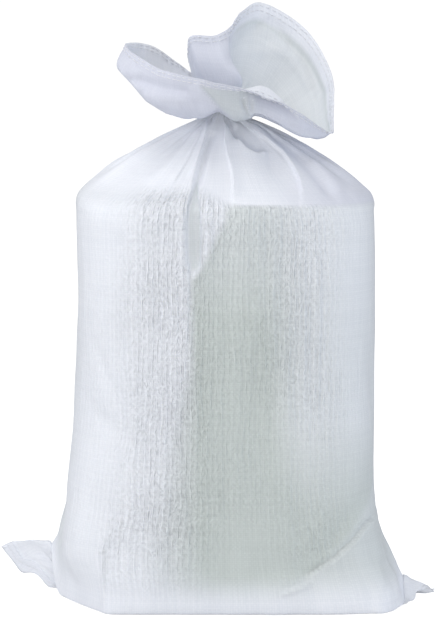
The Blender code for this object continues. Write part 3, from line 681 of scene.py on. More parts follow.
shoulderSettings = {
    "start": 0.640,                   # cloth from the seam, above which the body is settled
    "behind": (0.14, 0.20),           # where the back starts, as a share from the front's middle
    "slack": 0.03, "slackBehind": 0.22,
    "streak": 0.0014,                 # height of the first unevenness, from which the folds grow
    "settling": {"turns": 140, "hold": 0.02, "stiffness": 0.12, "fixedLow": 2, "fixedHigh": 2},
    # height of the gathers under the neck and further down, and the shares of the way up where each rises
    "gather": 0.0026, "lowGather": 0.0008, "gatherRise": (0.55, 0.95), "lowGatherRise": (0.2, 0.5),
    "gathersFrom": 0.66, "belowNeck": 0.012, "mostPull": 0.4, "gatherMiddle": 0.75,
}
ribSettings = {
    "rib": 0.0046, "ribHeight": 0.00055,        # cell of the lattice and height of the wrinkles
    "broad": 0.020, "broadHeight": 0.0007,
    "left": -0.118, "right": 0.142, "fade": 0.032, "bottom": 0.03,
    "footLeft": -0.143, "footFade": 0.006, "footTop": [0.09, 0.15],      # at the foot they reach further left
    # strength across the front, then up its left and its right part: metres, and strength
    "across": ([-0.12, -0.06, -0.02, 0.03, 0.08, 0.13], [1.10, 1.30, 1.00, 0.90, 1.45, 1.25]),
    "upLeft": ([0.10, 0.20, 0.36, 0.48], [1.25, 1.35, 1.75, 0.95]),
    "upRight": ([0.10, 0.20, 0.36, 0.48], [1.00, 1.05, 0.80, 1.25]),
}
puckers = [
    # two rows above the foot: height at the left end, slope, and the x of both ends
    (0.113, 0.0, -0.138, -0.010), (0.080, 0.110, 0.046, 0.130),
]
dents = [
    # shallow valleys: from and to, as distance round from the front's middle and height, half width, depth
    (-0.175, 0.345, -0.125, 0.255, 0.009, -0.0030), (-0.190, 0.270, -0.100, 0.215, 0.011, -0.0026),
    (0.190, 0.150, 0.090, 0.060, 0.012, -0.0036), (-0.150, 0.150, -0.110, 0.060, 0.015, -0.0022),
    (0.060, 0.250, 0.085, 0.330, 0.014, -0.0014), (0.215, 0.330, 0.235, 0.220, 0.016, -0.0025),
    (0.360, 0.450, 0.330, 0.300, 0.016, -0.0030), (0.480, 0.260, 0.500, 0.120, 0.018, -0.0030),
    (-0.420, 0.420, -0.440, 0.240, 0.018, -0.0030), (-0.300, 0.180, -0.250, 0.080, 0.014, -0.0030),
]
reliefSettings = {
    "fillEdge": 0.0004, "fillEdgeDown": 0.004, "fillEdgeHalf": 0.005,      # the edge of the contents
    "fillSharp": 0.0026, "fillSoft": 0.010, "fillSofter": (-0.03, 0.03),   # it is softer on the left
    "brim": 0.0022, "brims": (-0.0490, -0.0150), "brimHalf": 0.0045,       # the cloth beside the dart
    "brimLow": (0.44, 0.46), "brimHigh": (0.50, 0.53),
    # slow unevenness of the wall: height, cells round, cells up, seed
    "wall": [(0.0018, 14, 8, 31), (0.0007, 36, 22, 32)], "wallLow": (0.02, 0.07), "wallHigh": (0.50, 0.53),
    "footCreases": 0.0008, "footTop": (0.05, 0.12), "footFromSeam": (0.12, 0.145),
    # the diagonal fold: a point of it as distance from the front's middle and height, the direction
    # across it, how softly it starts, and between which distances from the middle it runs
    "fold": (0.090, 0.050), "acrossFold": (0.64, 0.77), "foldSoft": (-0.006, 0.010),
    "foldStart": (0.0, 0.02), "foldEnd": (0.20, 0.30),
    "earCreases": 0.0035, "earFrom": (0.215, 0.235), "earTop": (0.07, 0.10),
    # the upper layer of the right ear stands off the lower one, between these lengths of cloth
    "layersApart": 0.0030, "upperLow": (0.045, 0.075), "upperHigh": (0.125, 0.160),
    "upperFrom": (0.218, 0.236),
}
showSettings = {
    # by height: where the contents start to press, how gradually and how strongly, then how much less
    # at the right. The grey is the contents showing through and painted shade, and the dart gets painted shade
    "start": ([0.10, 0.22, 0.32, 0.425, 0.440, 0.460, 0.485, 0.500, 0.518],
              [-0.050, -0.045, -0.036, -0.038, -0.026, -0.016, -0.004, 0.004, 0.008]),
    "width": ([0.10, 0.22, 0.32, 0.440, 0.52], [0.055, 0.035, 0.012, 0.006, 0.008]),
    "strength": ([0.06, 0.15, 0.25, 0.35, 0.45, 0.52], [1.15, 1.2, 1.15, 1.1, 0.70, 0.60]),
    "right": ([0.10, 0.25], [0.05, 0.74]), "rightFrom": (0.035, 0.115),
    "behind": 0.45, "behindFrom": (0.19, 0.30),
    "least": 0.07, "low": (-0.01, 0.07), "fromSeam": (0.13, 0.19), "pastFold": 0.35,
    "dart": 0.42, "dartDepths": (0.0015, 0.0045),
    "thinAndShaded": 0.80, "rightShadeFrom": (0.05, 0.15), "rightShadeAbove": (-0.006, 0.002),      # painted shade on the right shoulder, where less light falls
}


def settledBody():
    # the smooth form, settled above the contents and blended into it at both ends, on the fine columns
    s = shoulderSettings
    coarse, along = bodyForm()
    first = int(np.searchsorted(along, s["start"]))
    form = coarse[first:]
    around = evenShares(form.shape[1])[None, :]
    up = ((along[first:] - along[first]) / (along[-1] - along[first]))[:, None]
    behind = smoothStep(*s["behind"], np.abs(fromFront(around)))
    slack = 1.0 + (s["slack"] + s["slackBehind"] * behind) * smoothStep(0.10, 0.75, up)
    streak = softNoise(around, up, 54, 2, 11) * s["streak"] * smoothStep(0.0, 0.4, up)
    settled = settleCloth(form, streak, slack, s["settling"])
    blend = smoothStep(0.0, 0.25, up)[..., None] * (1 - smoothStep(0.93, 1.0, up))[..., None]
    coarse[first:] = form + (settled - form) * blend
    shares = closerInFront(clothSettings["columns"], clothSettings["frontColumns"])
    return moreColumns(coarse, shares), along, shares


def ribStrength(at):
    # strength across the front times strength up it; nothing above the contents, little at the foot,
    # past the diagonal fold and in the dart, and patchy everywhere
    r, front, height = ribSettings, at["front"], at["height"]
    leftEnd = np.interp(height, r["footTop"], [r["footLeft"], r["left"]])
    leftFade = np.interp(height, r["footTop"], [r["footFade"], r["fade"]])
    across = smoothStep(-1.0, 1.0, (front - leftEnd) / leftFade)
    across = across * (1 - smoothStep(r["right"] - r["fade"], r["right"] + r["fade"], front))
    across = (0.22 + 0.78 * across) * np.interp(front, *r["across"])
    lowFade = 0.45 * smoothStep(r["bottom"], 0.16, height) + 0.55 * smoothStep(0.0, 0.05, height)
    patch = 0.75 + 0.25 * softNoise(at["around"], at["up"], 18, 12, 25)
    strength = across * at["filled"] * lowFade * np.clip(patch, 0.2, 1.3) * (1 - 0.85 * at["pastFold"])
    upLeft, upRight = np.interp(height, *r["upLeft"]), np.interp(height, *r["upRight"])
    strength = strength * (upLeft + (upRight - upLeft) * smoothStep(-0.05, 0.0, front))
    hollow = smoothStep(0.0004, 0.0025, dartDepth(at["x"], height)) * at["inFront"]
    return strength * (1 - 0.85 * hollow)


def ribHeights(at):
    # upright wrinkles whose places wobble, on broader swellings
    r, around, up = ribSettings, at["around"], at["up"]
    wobble = 0.004 * softNoise(around, up, 40, 14, 21)
    ribs = softNoise(around + wobble * 0.35, up, int(clothSettings["roundTube"] / r["rib"]), 11, 22)
    broad = softNoise(around, up, int(clothSettings["roundTube"] / r["broad"]), 12, 24)
    return r["ribHeight"] * ribs + r["broadHeight"] * broad


def addPuckers(strength, at):
    # along each row the ribs look a quarter stronger
    for level, slope, left, right in puckers:
        line = hump(at["height"], level + slope * (at["x"] - left), 0.0045) * at["inFront"]
        line = line * smoothStep(left - 0.010, left + 0.010, at["x"])
        line = line * (1 - smoothStep(right - 0.010, right + 0.010, at["x"]))
        strength = strength * (1 + 0.25 * line)
    return strength


def addFolds(relief, grid, at):
    # the edge of the contents, the drawn folds, and the dart with the raised cloth beside it
    s, x, height = reliefSettings, at["x"], at["height"]
    edge = np.exp(-((at["level"] + s["fillEdgeDown"]) / s["fillEdgeHalf"]) ** 2)
    relief += s["fillEdge"] * (edge * smoothStep(-0.02, 0.02, x) * at["inFront"])
    relief += foldHeight(grid, frontFolds) * (1 - smoothStep(-0.02, 0.0, grid[..., 1]))
    relief -= dartDepth(x, height) * at["inFront"]
    brim = hump(x, s["brims"][0], s["brimHalf"]) + hump(x, s["brims"][1], s["brimHalf"])
    brim = s["brim"] * brim * at["inFront"]
    relief += brim * smoothStep(*s["brimLow"], height) * (1 - smoothStep(*s["brimHigh"], height))


def addDents(relief, ear, at):
    # a dent is a bell across its line and a sine along it; then the unevenness and the creases of the foot
    s, front, height = reliefSettings, at["front"], at["height"]
    for x0, z0, x1, z1, width, depth in dents:
        dx, dz = x1 - x0, z1 - z0
        f = np.clip(((front - x0) * dx + (height - z0) * dz) / (dx * dx + dz * dz), 0, 1)
        away = np.hypot(front - x0 - f * dx, height - z0 - f * dz)
        relief += depth * np.exp(-(away / width) ** 2) * np.sin(math.pi * (0.15 + 0.7 * f))
    wall = smoothStep(*s["wallLow"], height) * (1 - smoothStep(*s["wallHigh"], height))
    for amount, cellsAround, cellsUp, seed in s["wall"]:
        relief += wall * amount * softNoise(at["around"], at["up"], cellsAround, cellsUp, seed)
    foot = (1 - smoothStep(*s["footTop"], height)) * smoothStep(*s["footFromSeam"], at["along"])
    relief += foot * (1 - ear) * s["footCreases"] * softNoise(at["around"], at["up"], 90, 40, 33)


def contentsAndShade(at):
    # how much the contents show through, most where they press against the front, with painted shade: greyest
    # in the middle of the front, and in the dart's hollow
    s, front, height = showSettings, at["front"], at["height"]
    start, width, strength = (np.interp(height, *s[title]) for title in ("start", "width", "strength"))
    right = np.interp(height, *s["right"]) * smoothStep(*s["rightFrom"], front)
    pressed = smoothStep(-1.0, 1.0, (front - start) / width) * (1 - right) * strength
    pressed = pressed + (s["behind"] - pressed) * smoothStep(*s["behindFrom"], np.abs(front))
    shows = at["filled"] * (s["least"] + (1 - s["least"]) * pressed) * smoothStep(*s["low"], height)
    shows = shows * (1 - s["pastFold"] * at["pastFold"]) * smoothStep(*s["fromSeam"], at["along"])
    # the dart's hollow is painted grey as shade
    dartShade = smoothStep(*s["dartDepths"], dartDepth(at["x"], height)) * at["inFront"]
    return np.maximum(shows, s["dart"] * dartShade)


def buildBody():
    # the settled form, raised along its normals by gathers, ribs, folds and dents, and its tones
    s, r = shoulderSettings, reliefSettings
    form, along, shares = settledBody()
    x, height = form[..., 0], form[..., 2]
    upShoulder = smoothStep(s["gathersFrom"], along[-1] - s["belowNeck"], along)[:, None]
    pull = (s["gather"] * smoothStep(*s["gatherRise"], upShoulder)
            + s["lowGather"] * smoothStep(*s["lowGatherRise"], upShoulder))
    # less close to the neck's axis
    pull = np.minimum(pull, s["mostPull"] * np.linalg.norm(form[..., :2], axis=2))
    grid = form + gridNormals(form) * ((gathers(shares)[None, :] - s["gatherMiddle"]) * pull)[..., None]

    front = fromFront(shares[None, :]) * clothSettings["roundTube"]
    level = height - fillTop(x)
    sharp = r["fillSharp"] + r["fillSoft"] * (1 - smoothStep(*r["fillSofter"], x))
    acrossFold = (front - r["fold"][0]) * r["acrossFold"][0] - (height - r["fold"][1]) * r["acrossFold"][1]
    pastFold = smoothStep(*r["foldSoft"], acrossFold)
    pastFold = pastFold * smoothStep(*r["foldStart"], front) * (1 - smoothStep(*r["foldEnd"], front))
    at = {"x": x, "height": height, "front": front, "level": level, "around": shares[None, :],
          "along": along[:, None], "up": along[:, None] / along[-1], "inFront": grid[..., 1] < 0,
          "filled": 1 - smoothStep(-1.0, 1.0, level / sharp), "pastFold": pastFold}
    ribs = ribStrength(at)
    relief = ribs * ribHeights(at)
    addFolds(relief, grid, at)
    ear = smoothStep(*r["earFrom"], np.abs(x)) * (1 - smoothStep(*r["earTop"], height))
    addDents(relief, ear, at)
    grid = grid + gridNormals(grid) * relief[..., None]

    # creases across the ears; past the body the cloth lies in two layers, the upper one a little free
    creases = softNoise(grid[..., 0] * 8 + 4, grid[..., 2] * 6, 10, 3, 34)
    grid[..., 1] += ear * r["earCreases"] * creases
    grid[..., 2] = np.maximum(grid[..., 2], clothSettings["floorGap"])
    upper = smoothStep(*r["upperLow"], along)[:, None] * (1 - smoothStep(*r["upperHigh"], along))[:, None]
    grid[..., 2] += r["layersApart"] * upper * smoothStep(*r["upperFrom"], grid[..., 0])
    # painted shade on the right shoulder above the contents, where the light from the left falls less
    thinAndShaded = showSettings["thinAndShaded"] * smoothStep(*showSettings["rightShadeFrom"], x)
    thinAndShaded = thinAndShaded * smoothStep(*showSettings["rightShadeAbove"], level)
    return grid, along, shares, {"ribs": addPuckers(ribs, at), "contentsAndShade": contentsAndShade(at), "thinAndShaded": thinAndShaded}


mouthSettings = {
    # the rows run from the neck's lower ring through its upper one, at 0, to the rim, at 1
    "start": -0.04, "knots": [-0.04, 0.0, 0.33, 0.66, 1.0],
    "slack": 0.03, "slackBehind": 0.10, "behindHalf": 0.22, "slackLow": (0.02, 0.2), "slackHigh": (0.25, 0.60),
    "streak": 0.0010, "streakLow": (0.03, 0.2), "streakHigh": (0.3, 0.6),
    "settling": {"turns": 70, "hold": 0.07, "stiffness": 0.06, "fixedLow": 3, "fixedHigh": 0},
    "uneven": [(0.0005, 60, 8, 42), (0.0003, 140, 10, 43)],      # height, cells round, cells up, seed
    "unevenFrom": (0.1, 0.35), "foldsFrom": (0.05, 0.2), "foldsFacing": (0.0, 0.3),
    # the underside's table holds this far in front of the neck; its slope, and how softly it lifts
    "hangFront": 0.060, "hangSlope": 0.12, "hangSoft": 0.0012, "hangFrom": (0.06, 0.15),
}


def buildMouth():
    # curves from the neck through the two inner points of each station to the rim, then settled
    s, count = mouthSettings, clothSettings["coarseColumns"]
    shares = [station[0] for station in mouthStations]
    rings = [neckRing(neckSettings[end], count) for end in ("low", "high")]
    for k in (3, 2, 1):
        rings.append(closedCurve(shares, [station[k] for station in mouthStations], evenShares(count)))
    wanted = np.linspace(s["start"], 1.0, clothSettings["mouthRows"])
    form = throughRows(s["knots"], rings, wanted)
    up = np.clip(wanted, 0, 1)[:, None]
    around = evenShares(count)[None, :]
    for place, wide, share, tall, move in mouthBulges:
        bell = hump(fromPlace(around, place), 0.0, wide) * hump(up, share, tall)
        form = form + bell[..., None] * np.array(move)
    behind = hump(fromPlace(around, 0.25), 0.0, s["behindHalf"])
    slack = (s["slack"] + s["slackBehind"] * behind) * smoothStep(*s["slackLow"], up)
    slack = slack * (1 - smoothStep(*s["slackHigh"], up))
    streak = softNoise(around, up, 54, 2, 41) * s["streak"] * smoothStep(*s["streakLow"], up)
    streak = streak * (1 - smoothStep(*s["streakHigh"], up)) * (0.3 + 0.7 * behind)
    settled = settleCloth(form, streak, 1.0 + slack, s["settling"])
    around = evenShares(clothSettings["columns"])
    grid = moreColumns(settled, around)
    around = around[None, :]
    normals = gridNormals(grid)
    relief = sum(amount * softNoise(around, up, *cells) for amount, *cells in s["uneven"])
    relief = relief * smoothStep(*s["unevenFrom"], up)
    facing = smoothStep(*s["foldsFacing"], -normals[..., 1])
    relief += foldHeight(grid, mouthFolds) * facing * smoothStep(*s["foldsFrom"], up)
    behindNeck = smoothStep(-0.02, 0.02, grid[..., 1])
    facing = smoothStep(*s["foldsFacing"], np.abs(normals[..., 1]))
    relief += foldHeight(grid, cupFolds) * behindNeck * facing
    grid = grid + normals * relief[..., None]
    # where the lobes hang too low in front they are lifted: s ln(1 + exp(short / s)), a soft maximum
    table = np.array(mouthUnderside)
    lowest = np.interp(grid[..., 0], table[:, 0], table[:, 1])
    lowest = lowest - s["hangSlope"] * (grid[..., 1] + s["hangFront"])
    lift = s["hangSoft"] * np.logaddexp(0.0, ((lowest - grid[..., 2]) / s["hangSoft"]).clip(-30, 60))
    grid[..., 2] += lift * (1 - behindNeck) * smoothStep(*s["hangFrom"], up)
    return grid, clothSettings["neckLength"] + clothSettings["mouthLength"] * up[:, 0]


# Materials

def newMaterial(name, settings):
    # a Principled BSDF with these values on its own sockets
    material = bpy.data.materials.new(name)
    material.use_nodes = True
    shader = material.node_tree.nodes["Principled BSDF"]
    for title, value in settings.items():
        shader.inputs[title].default_value = value
    return material, material.node_tree, shader


weaveSettings = {
    "tapeWidth": 0.0027,      # the flat tapes of a sack are 2.5 to 3 mm wide
    "ribSpacing": 0.0063,     # the upright crimps over the contents
    "freeDark": "#e3e7ef", "freeLight": "#f5f7fc",      # cloth that stands free
    "fullDark": "#bcc4c1", "fullLight": "#d1d8d5",      # cloth with the contents pressed against it, and painted shade in the dart, the cup and the mouth's front
    "thinAndShadedDark": "#cbcedb", "thinAndShadedLight": "#dadde8",      # one layer of cloth with nothing behind it, and painted shade on the right shoulder, the mouth's lobes and the hem
    "toneEnds": (0.20, 0.80), "bump": 0.001,
    "noises": [
        # cells round the tube and along it, in metres, and detail
        ("cloud", 0.11, 0.11, 3.0), ("streak", 0.0038, 0.045, 3.0), ("wander", 0.040, 0.100, 2.0),
        ("crimp", 0.0026, 0.0050, 2.0), ("fade", 0.009, 0.028, 1.0),
    ],
}
weaveSteps = [
    # a name, the operation, and its inputs: a number, or the name of what it reads
    # each tape is arched across its width: the sine of pi times the share of the way across, to a power
    ("inColumn", "FRACT", "acrossTapes"), ("inRow", "FRACT", "alongTapes"),
    ("warpAngle", "MULTIPLY", "inColumn", math.pi), ("weftAngle", "MULTIPLY", "inRow", math.pi),
    ("warpSine", "SINE", "warpAngle"), ("weftSine", "SINE", "weftAngle"),
    ("warp", "POWER", "warpSine", 0.45), ("weft", "POWER", "weftSine", 0.45),
    # plain weave: the warp is on top where column and row add up to an odd number
    ("columnAndRow", "ADD", "column", "row"), ("remainder", "MODULO", "columnAndRow", 2.0),
    ("over", "ABSOLUTE", "remainder"), ("under", "SUBTRACT", 1.0, "over"),
    ("warpDip", "MULTIPLY_ADD", "weft", 0.55, 0.45), ("weftDip", "MULTIPLY_ADD", "warp", 0.55, 0.45),
    ("warpArch", "MULTIPLY", "warp", "warpDip"), ("weftArch", "MULTIPLY", "weft", "weftDip"),
    ("warpTop", "MULTIPLY", "warpArch", "over"), ("weave", "MULTIPLY_ADD", "weftArch", "under", "warpTop"),
    # the tone: each tape's own, the arches as painted shade, darker where the tapes dip, fine streaks and broad
    # clouds
    ("warpTone", "MULTIPLY", "columnTone", "over"),
    ("tapeTone", "MULTIPLY_ADD", "rowTone", "under", "warpTone"),
    ("weaveArchShade", "MULTIPLY", "weave", 0.26), ("tapesTone", "MULTIPLY_ADD", "tapeTone", 0.16, "weaveArchShade"),
    ("streakedTone", "MULTIPLY_ADD", "streak", 0.30, "tapesTone"),
    ("tone", "MULTIPLY_ADD", "cloud", 0.28, "streakedTone"),
    # the wrinkles are a sine whose phase wanders, fading in and out, with the crimp of the weft across them
    ("drift", "MULTIPLY", "wander", 15.0),
    ("phase", "MULTIPLY_ADD", "acrossTapes",
     2 * math.pi * weaveSettings["tapeWidth"] / weaveSettings["ribSpacing"], "drift"),
    ("sine", "SINE", "phase"), ("wave", "MULTIPLY_ADD", "sine", 0.5, 0.5), ("sharp", "POWER", "wave", 1.6),
    ("fading", "MULTIPLY_ADD", "fade", 1.5, -0.15), ("wrinkle", "MULTIPLY", "sharp", "fading"),
    ("wrinkleHeight", "MULTIPLY", "wrinkle", 1.7), ("crimped", "MULTIPLY_ADD", "crimp", 3.6, "wrinkleHeight"),
    ("wrinkled", "MULTIPLY", "ribs", "crimped"),
    # painted highlight on the wrinkles' crests and painted shade in their gaps and the crimp's dips: 1 + ribs
    # (a (wrinkle - 1/6) + b (crimp - 0.5))
    ("crestHighlight", "MULTIPLY_ADD", "wrinkle", 0.18, -0.030), ("crimpShade", "MULTIPLY_ADD", "crimp", 0.30, -0.15),
    ("uneven", "ADD", "crestHighlight", "crimpShade"), ("lit", "MULTIPLY_ADD", "uneven", "ribs", 1.0),
    # the height of the surface, in millimetres
    ("weaveHeight", "MULTIPLY", "weave", 0.12),
    ("tapeHeight", "MULTIPLY_ADD", "tapeTone", 0.06, "weaveHeight"),
    ("streakHeight", "MULTIPLY_ADD", "streak", 0.18, "tapeHeight"),
    ("height", "ADD", "streakHeight", "wrinkled"),
]


def clothMaterial(name):
    # white woven polypropylene: flat stretched tapes, one over and one under, with the soft gloss of
    # plastic tape; each tape differs a little in tone and height. Where it is pressed against the
    # contents it looks greyer, with painted shade, and crimps into upright wrinkles, with painted highlights on
    # their crests and painted shade in their gaps
    w = weaveSettings
    material, tree, shader = newMaterial(name, {"Roughness": 0.50, "IOR": 1.49})
    uv = addNode(tree, "ShaderNodeUVMap", {"uv_map": "clothMetres"})
    scaled = addNode(tree, "ShaderNodeVectorMath", {"operation": "SCALE", "Scale": 1 / w["tapeWidth"]},
                     {0: uv})
    split = addNode(tree, "ShaderNodeSeparateXYZ", {}, {0: scaled})
    made = {"acrossTapes": split.outputs["X"], "alongTapes": split.outputs["Y"]}
    for title, source in (("column", "acrossTapes"), ("row", "alongTapes")):
        made[title] = addNode(tree, "ShaderNodeMath", {"operation": "FLOOR"}, {0: made[source]})
    otherRows = addNode(tree, "ShaderNodeMath", {"operation": "ADD", 1: 77.7}, {0: made["row"]})
    for title, source in (("columnTone", made["column"]), ("rowTone", otherRows)):
        made[title] = addNode(tree, "ShaderNodeTexWhiteNoise", {"noise_dimensions": "1D"}, {"W": source})
    for title, across, along, detail in w["noises"]:
        cells = addNode(tree, "ShaderNodeMapping", {"Scale": (1 / across, 1 / along, 1.0)}, {"Vector": uv})
        made[title] = addNode(tree, "ShaderNodeTexNoise", {"Scale": 1.0, "Detail": detail}, {"Vector": cells})
    for title in ("ribs", "contentsAndShade", "thinAndShaded"):
        made[title] = addNode(tree, "ShaderNodeAttribute", {"attribute_name": title}).outputs["Fac"]
    for title, operation, *inputs in weaveSteps:
        numbers = {slot: value for slot, value in enumerate(inputs) if not isinstance(value, str)}
        sources = {slot: made[value] for slot, value in enumerate(inputs) if isinstance(value, str)}
        made[title] = addNode(tree, "ShaderNodeMath", {"operation": operation, **numbers}, sources)
    ramps = {}
    for title in ("free", "full", "thinAndShaded"):
        ramps[title] = addNode(tree, "ShaderNodeValToRGB", {}, {0: made["tone"]})
        ends = ramps[title].color_ramp.elements
        ends[0].position, ends[1].position = w["toneEnds"]
        ends[0].color, ends[1].color = toLinear(w[title + "Dark"]), toLinear(w[title + "Light"])
    mixed = {"data_type": "RGBA", "blend_type": "MIX"}
    # first the single-layer tone with painted shade, from the thin-and-shaded ramp
    standing = addNode(tree, "ShaderNodeMix", mixed, {0: made["thinAndShaded"], 6: ramps["free"], 7: ramps["thinAndShaded"]})
    # then the contents showing through and painted shade, from the filled-and-shaded ramp
    blend = addNode(tree, "ShaderNodeMix", mixed,
                    {0: made["contentsAndShade"], 6: standing.outputs[2], 7: ramps["full"]})
    # the painted highlights and shade of the wrinkles scale the colour
    colour = addNode(tree, "ShaderNodeVectorMath", {"operation": "SCALE"},
                     {0: blend.outputs[2], "Scale": made["lit"]})
    tree.links.new(colour.outputs[0], shader.inputs["Base Color"])
    bump = addNode(tree, "ShaderNodeBump", {"Strength": 1.0, "Distance": w["bump"]}, {"Height": made["height"]})
    tree.links.new(bump.outputs[0], shader.inputs["Normal"])
    return material


threadSettings = {"fibreScale": 1100.0, "fibreDetail": 4.0, "plyHeight": 0.22, "toneEnds": (0.22, 0.70),
                  "bump": 0.0002}


def threadMaterial(name, settings):
    # spun polyester, or polypropylene film split and twisted: dull white fibres, in plies that wind
    # round the thread, darker in the grooves between the plies as painted shade
    t = threadSettings
    material, tree, shader = newMaterial(name, {"Roughness": 0.75, "Sheen Weight": 0.25})
    uv = addNode(tree, "ShaderNodeUVMap", {"uv_map": "clothMetres"})
    split = addNode(tree, "ShaderNodeSeparateXYZ", {}, {0: uv})
    turns = addNode(tree, "ShaderNodeMath", {"operation": "MULTIPLY_ADD", 1: 1 / settings["twist"]},
                    {0: split.outputs["X"], 2: split.outputs["Y"]})
    angle = addNode(tree, "ShaderNodeMath", {"operation": "MULTIPLY", 1: 2 * math.pi * settings["plies"]},
                    {0: turns})
    plies = addNode(tree, "ShaderNodeMath", {"operation": "SINE"}, {0: angle})
    place = addNode(tree, "ShaderNodeTexCoord").outputs["Object"]
    fibres = addNode(tree, "ShaderNodeTexNoise", {"Scale": t["fibreScale"], "Detail": t["fibreDetail"]},
                     {"Vector": place})
    height = addNode(tree, "ShaderNodeMath", {"operation": "MULTIPLY_ADD", 1: t["plyHeight"]},
                     {0: plies, 2: fibres})
    # painted shade in the grooves between the plies, and the fibres' own tone
    ramp = addNode(tree, "ShaderNodeValToRGB", {}, {0: height})
    ends = ramp.color_ramp.elements
    ends[0].position, ends[1].position = t["toneEnds"]
    ends[0].color, ends[1].color = toLinear(settings["dark"]), toLinear(settings["light"])
    tree.links.new(ramp.outputs[0], shader.inputs["Base Color"])
    bump = addNode(tree, "ShaderNodeBump", {"Strength": 0.8, "Distance": t["bump"]}, {"Height": height})
    tree.links.new(bump.outputs[0], shader.inputs["Normal"])
    return material


wovenPolypropylene = clothMaterial("wovenPolypropylene")

bodyGrid, bodyAlong, bodyShares, bodyLayers = buildBody()
print("body", bodyGrid.shape)
bodyUv = bodyShares * clothSettings["roundTube"]
sackBody = meshFromGrid("sackBody", bodyGrid, bodyUv, bodyAlong, wovenPolypropylene, bodyLayers)
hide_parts("woven_cloth", "contents")

mouthToneSettings = {
    "cup": (0.245, 0.285), "cupFront": (0.80, 0.86),      # shares of the way round where the cup ends
    "cupShade": 0.36, "belowBrim": (0.021, 0.031), "underBrim": (0.031, 0.006),      # painted shade inside the cup; metres from the rim
    # share of the way round, and how thin the cloth looks from outside, with painted shade on the lobes
    "outside": ([0.0, 0.27, 0.30, 0.43, 0.47, 0.56, 0.70, 0.74, 0.82, 0.95, 1.0],
                [0.8, 0.7, 1.0, 1.0, 0.9, 1.0, 1.0, 1.0, 1.0, 0.9, 0.8]),
    "insideThinAndShade": 0.15, "petalThinAndShade": 0.80, "petal": (0.335, 0.060),
    # the front has painted shade past a line in x and z, up to this x, in front of the neck, off the hem
    "frontShade": 0.55, "line": (-0.028, 0.668), "across": (0.74, 0.67), "soft": (-0.004, 0.004),
    "rightEnd": (0.02, 0.06), "forward": (0.0, 0.03), "shares": (0.55, 0.65), "fromRim": (0.012, 0.020),
}


def mouthTones(grid, fromRim, shares):
    # outside, then inside: painted shade inside the cup and on the front past a line, thin with painted shade
    # where there is one layer alone. The cup is greyer than its brim, most just below it, as painted shade, and
    # the petal is thin
    s, blank = mouthToneSettings, np.zeros(grid.shape[:2])
    inCup = 1 - smoothStep(*s["cup"], shares) * (1 - smoothStep(*s["cupFront"], shares))
    # painted shade inside the cup, most just below its brim
    inside = smoothStep(*s["belowBrim"], fromRim) + 0.5 * hump(fromRim, *s["underBrim"])
    inside = s["cupShade"] * inside * inCup
    x, y, z = grid[..., 0], grid[..., 1], grid[..., 2]
    # painted shade on the front of the mouth, past the line
    past = (x - s["line"][0]) * s["across"][0] + (z - s["line"][1]) * s["across"][1]
    front = s["frontShade"] * smoothStep(*s["soft"], past)
    front = front * (1 - smoothStep(*s["rightEnd"], x)) * smoothStep(*s["forward"], -y)
    front = front * smoothStep(*s["shares"], shares) * smoothStep(*s["fromRim"], fromRim)
    # inside: one layer alone, with painted shade, most on the petal
    thinAndShadeInside = s["insideThinAndShade"] + s["petalThinAndShade"] * hump(shares, *s["petal"])
    return {"ribs": (blank, blank), "contentsAndShade": (front, inside),
            "thinAndShaded": (np.interp(shares, *s["outside"]) + blank, thinAndShadeInside + blank)}


# two walls that meet at the rim, thicker over the hem
mouthGrid, mouthAlong = buildMouth()
print("mouth", mouthGrid.shape)
mouthNormals = gridNormals(mouthGrid)
fromRim = (mouthAlong[-1] - mouthAlong)[:, None]
hemEnds = (clothSettings["hemWidth"] - clothSettings["hemSoft"],
           clothSettings["hemWidth"] + clothSettings["hemSoft"])
overHem = 1 - smoothStep(*hemEnds, fromRim)
hemExtra = clothSettings["hemThickness"] - clothSettings["thickness"]
wallThickness = clothSettings["thickness"] + hemExtra * overHem
mouthShares = evenShares(clothSettings["columns"])
mouthOutside = mouthGrid + 0.5 * wallThickness[..., None] * mouthNormals
mouthInside = mouthGrid - 0.5 * wallThickness[..., None] * mouthNormals
mouthLayers = {title: np.concatenate([outside, inside[::-1]])
               for title, (outside, inside) in mouthTones(mouthGrid, fromRim, mouthShares).items()}
sackMouth = meshFromGrid("sackMouth", np.concatenate([mouthOutside, mouthInside[::-1]]),
                         mouthShares * clothSettings["roundTube"],
                         np.concatenate([mouthAlong, mouthAlong[::-1]]), wovenPolypropylene, mouthLayers)
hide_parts("woven_cloth")

# The folded hem along the bottom seam

hemSettings = {"width": 0.018, "rows": 7, "thickness": 0.0010, "groove": 0.0005, "grooveHalf": 0.0016,
               "floorGap": 0.0002}


def buildHem():
    # the body's lowest rows again, a folded layer further out: over the outside, round its edge and back
    h = hemSettings
    edge = h["width"] * (1 + 0.05 * softNoise(bodyShares, np.zeros_like(bodyShares), 60, 1, 51))
    share = np.linspace(0.0, 1.0, h["rows"])[:, None]
    cloth = share * edge
    row = np.interp(cloth, bodyAlong, np.arange(len(bodyAlong)))
    around = bodyShares[None, :] + np.zeros(row.shape)
    surface = onSurface(bodyGrid, bodyShares, around, row)
    normals = onSurface(gridNormals(bodyGrid), bodyShares, around, row)
    height = h["thickness"] * (1 + 0.25 * softNoise(around, cloth / 0.05, 150, 3, 52))
    groove = h["groove"] * hump(cloth, seamStitchSettings["fromEdge"], h["grooveHalf"])
    outside = surface + normals * (height - groove)[..., None]
    inside = surface - normals * baseSettings["flapHalf"]
    shell = np.concatenate([outside, inside[::-1]])
    shell[..., 2] = np.maximum(shell[..., 2], h["floorGap"])
    return shell, np.concatenate([cloth[:, 0], cloth[::-1, 0]]), outside, normals


# Stitches: each is an arch of thread that dips into the cloth at both ends

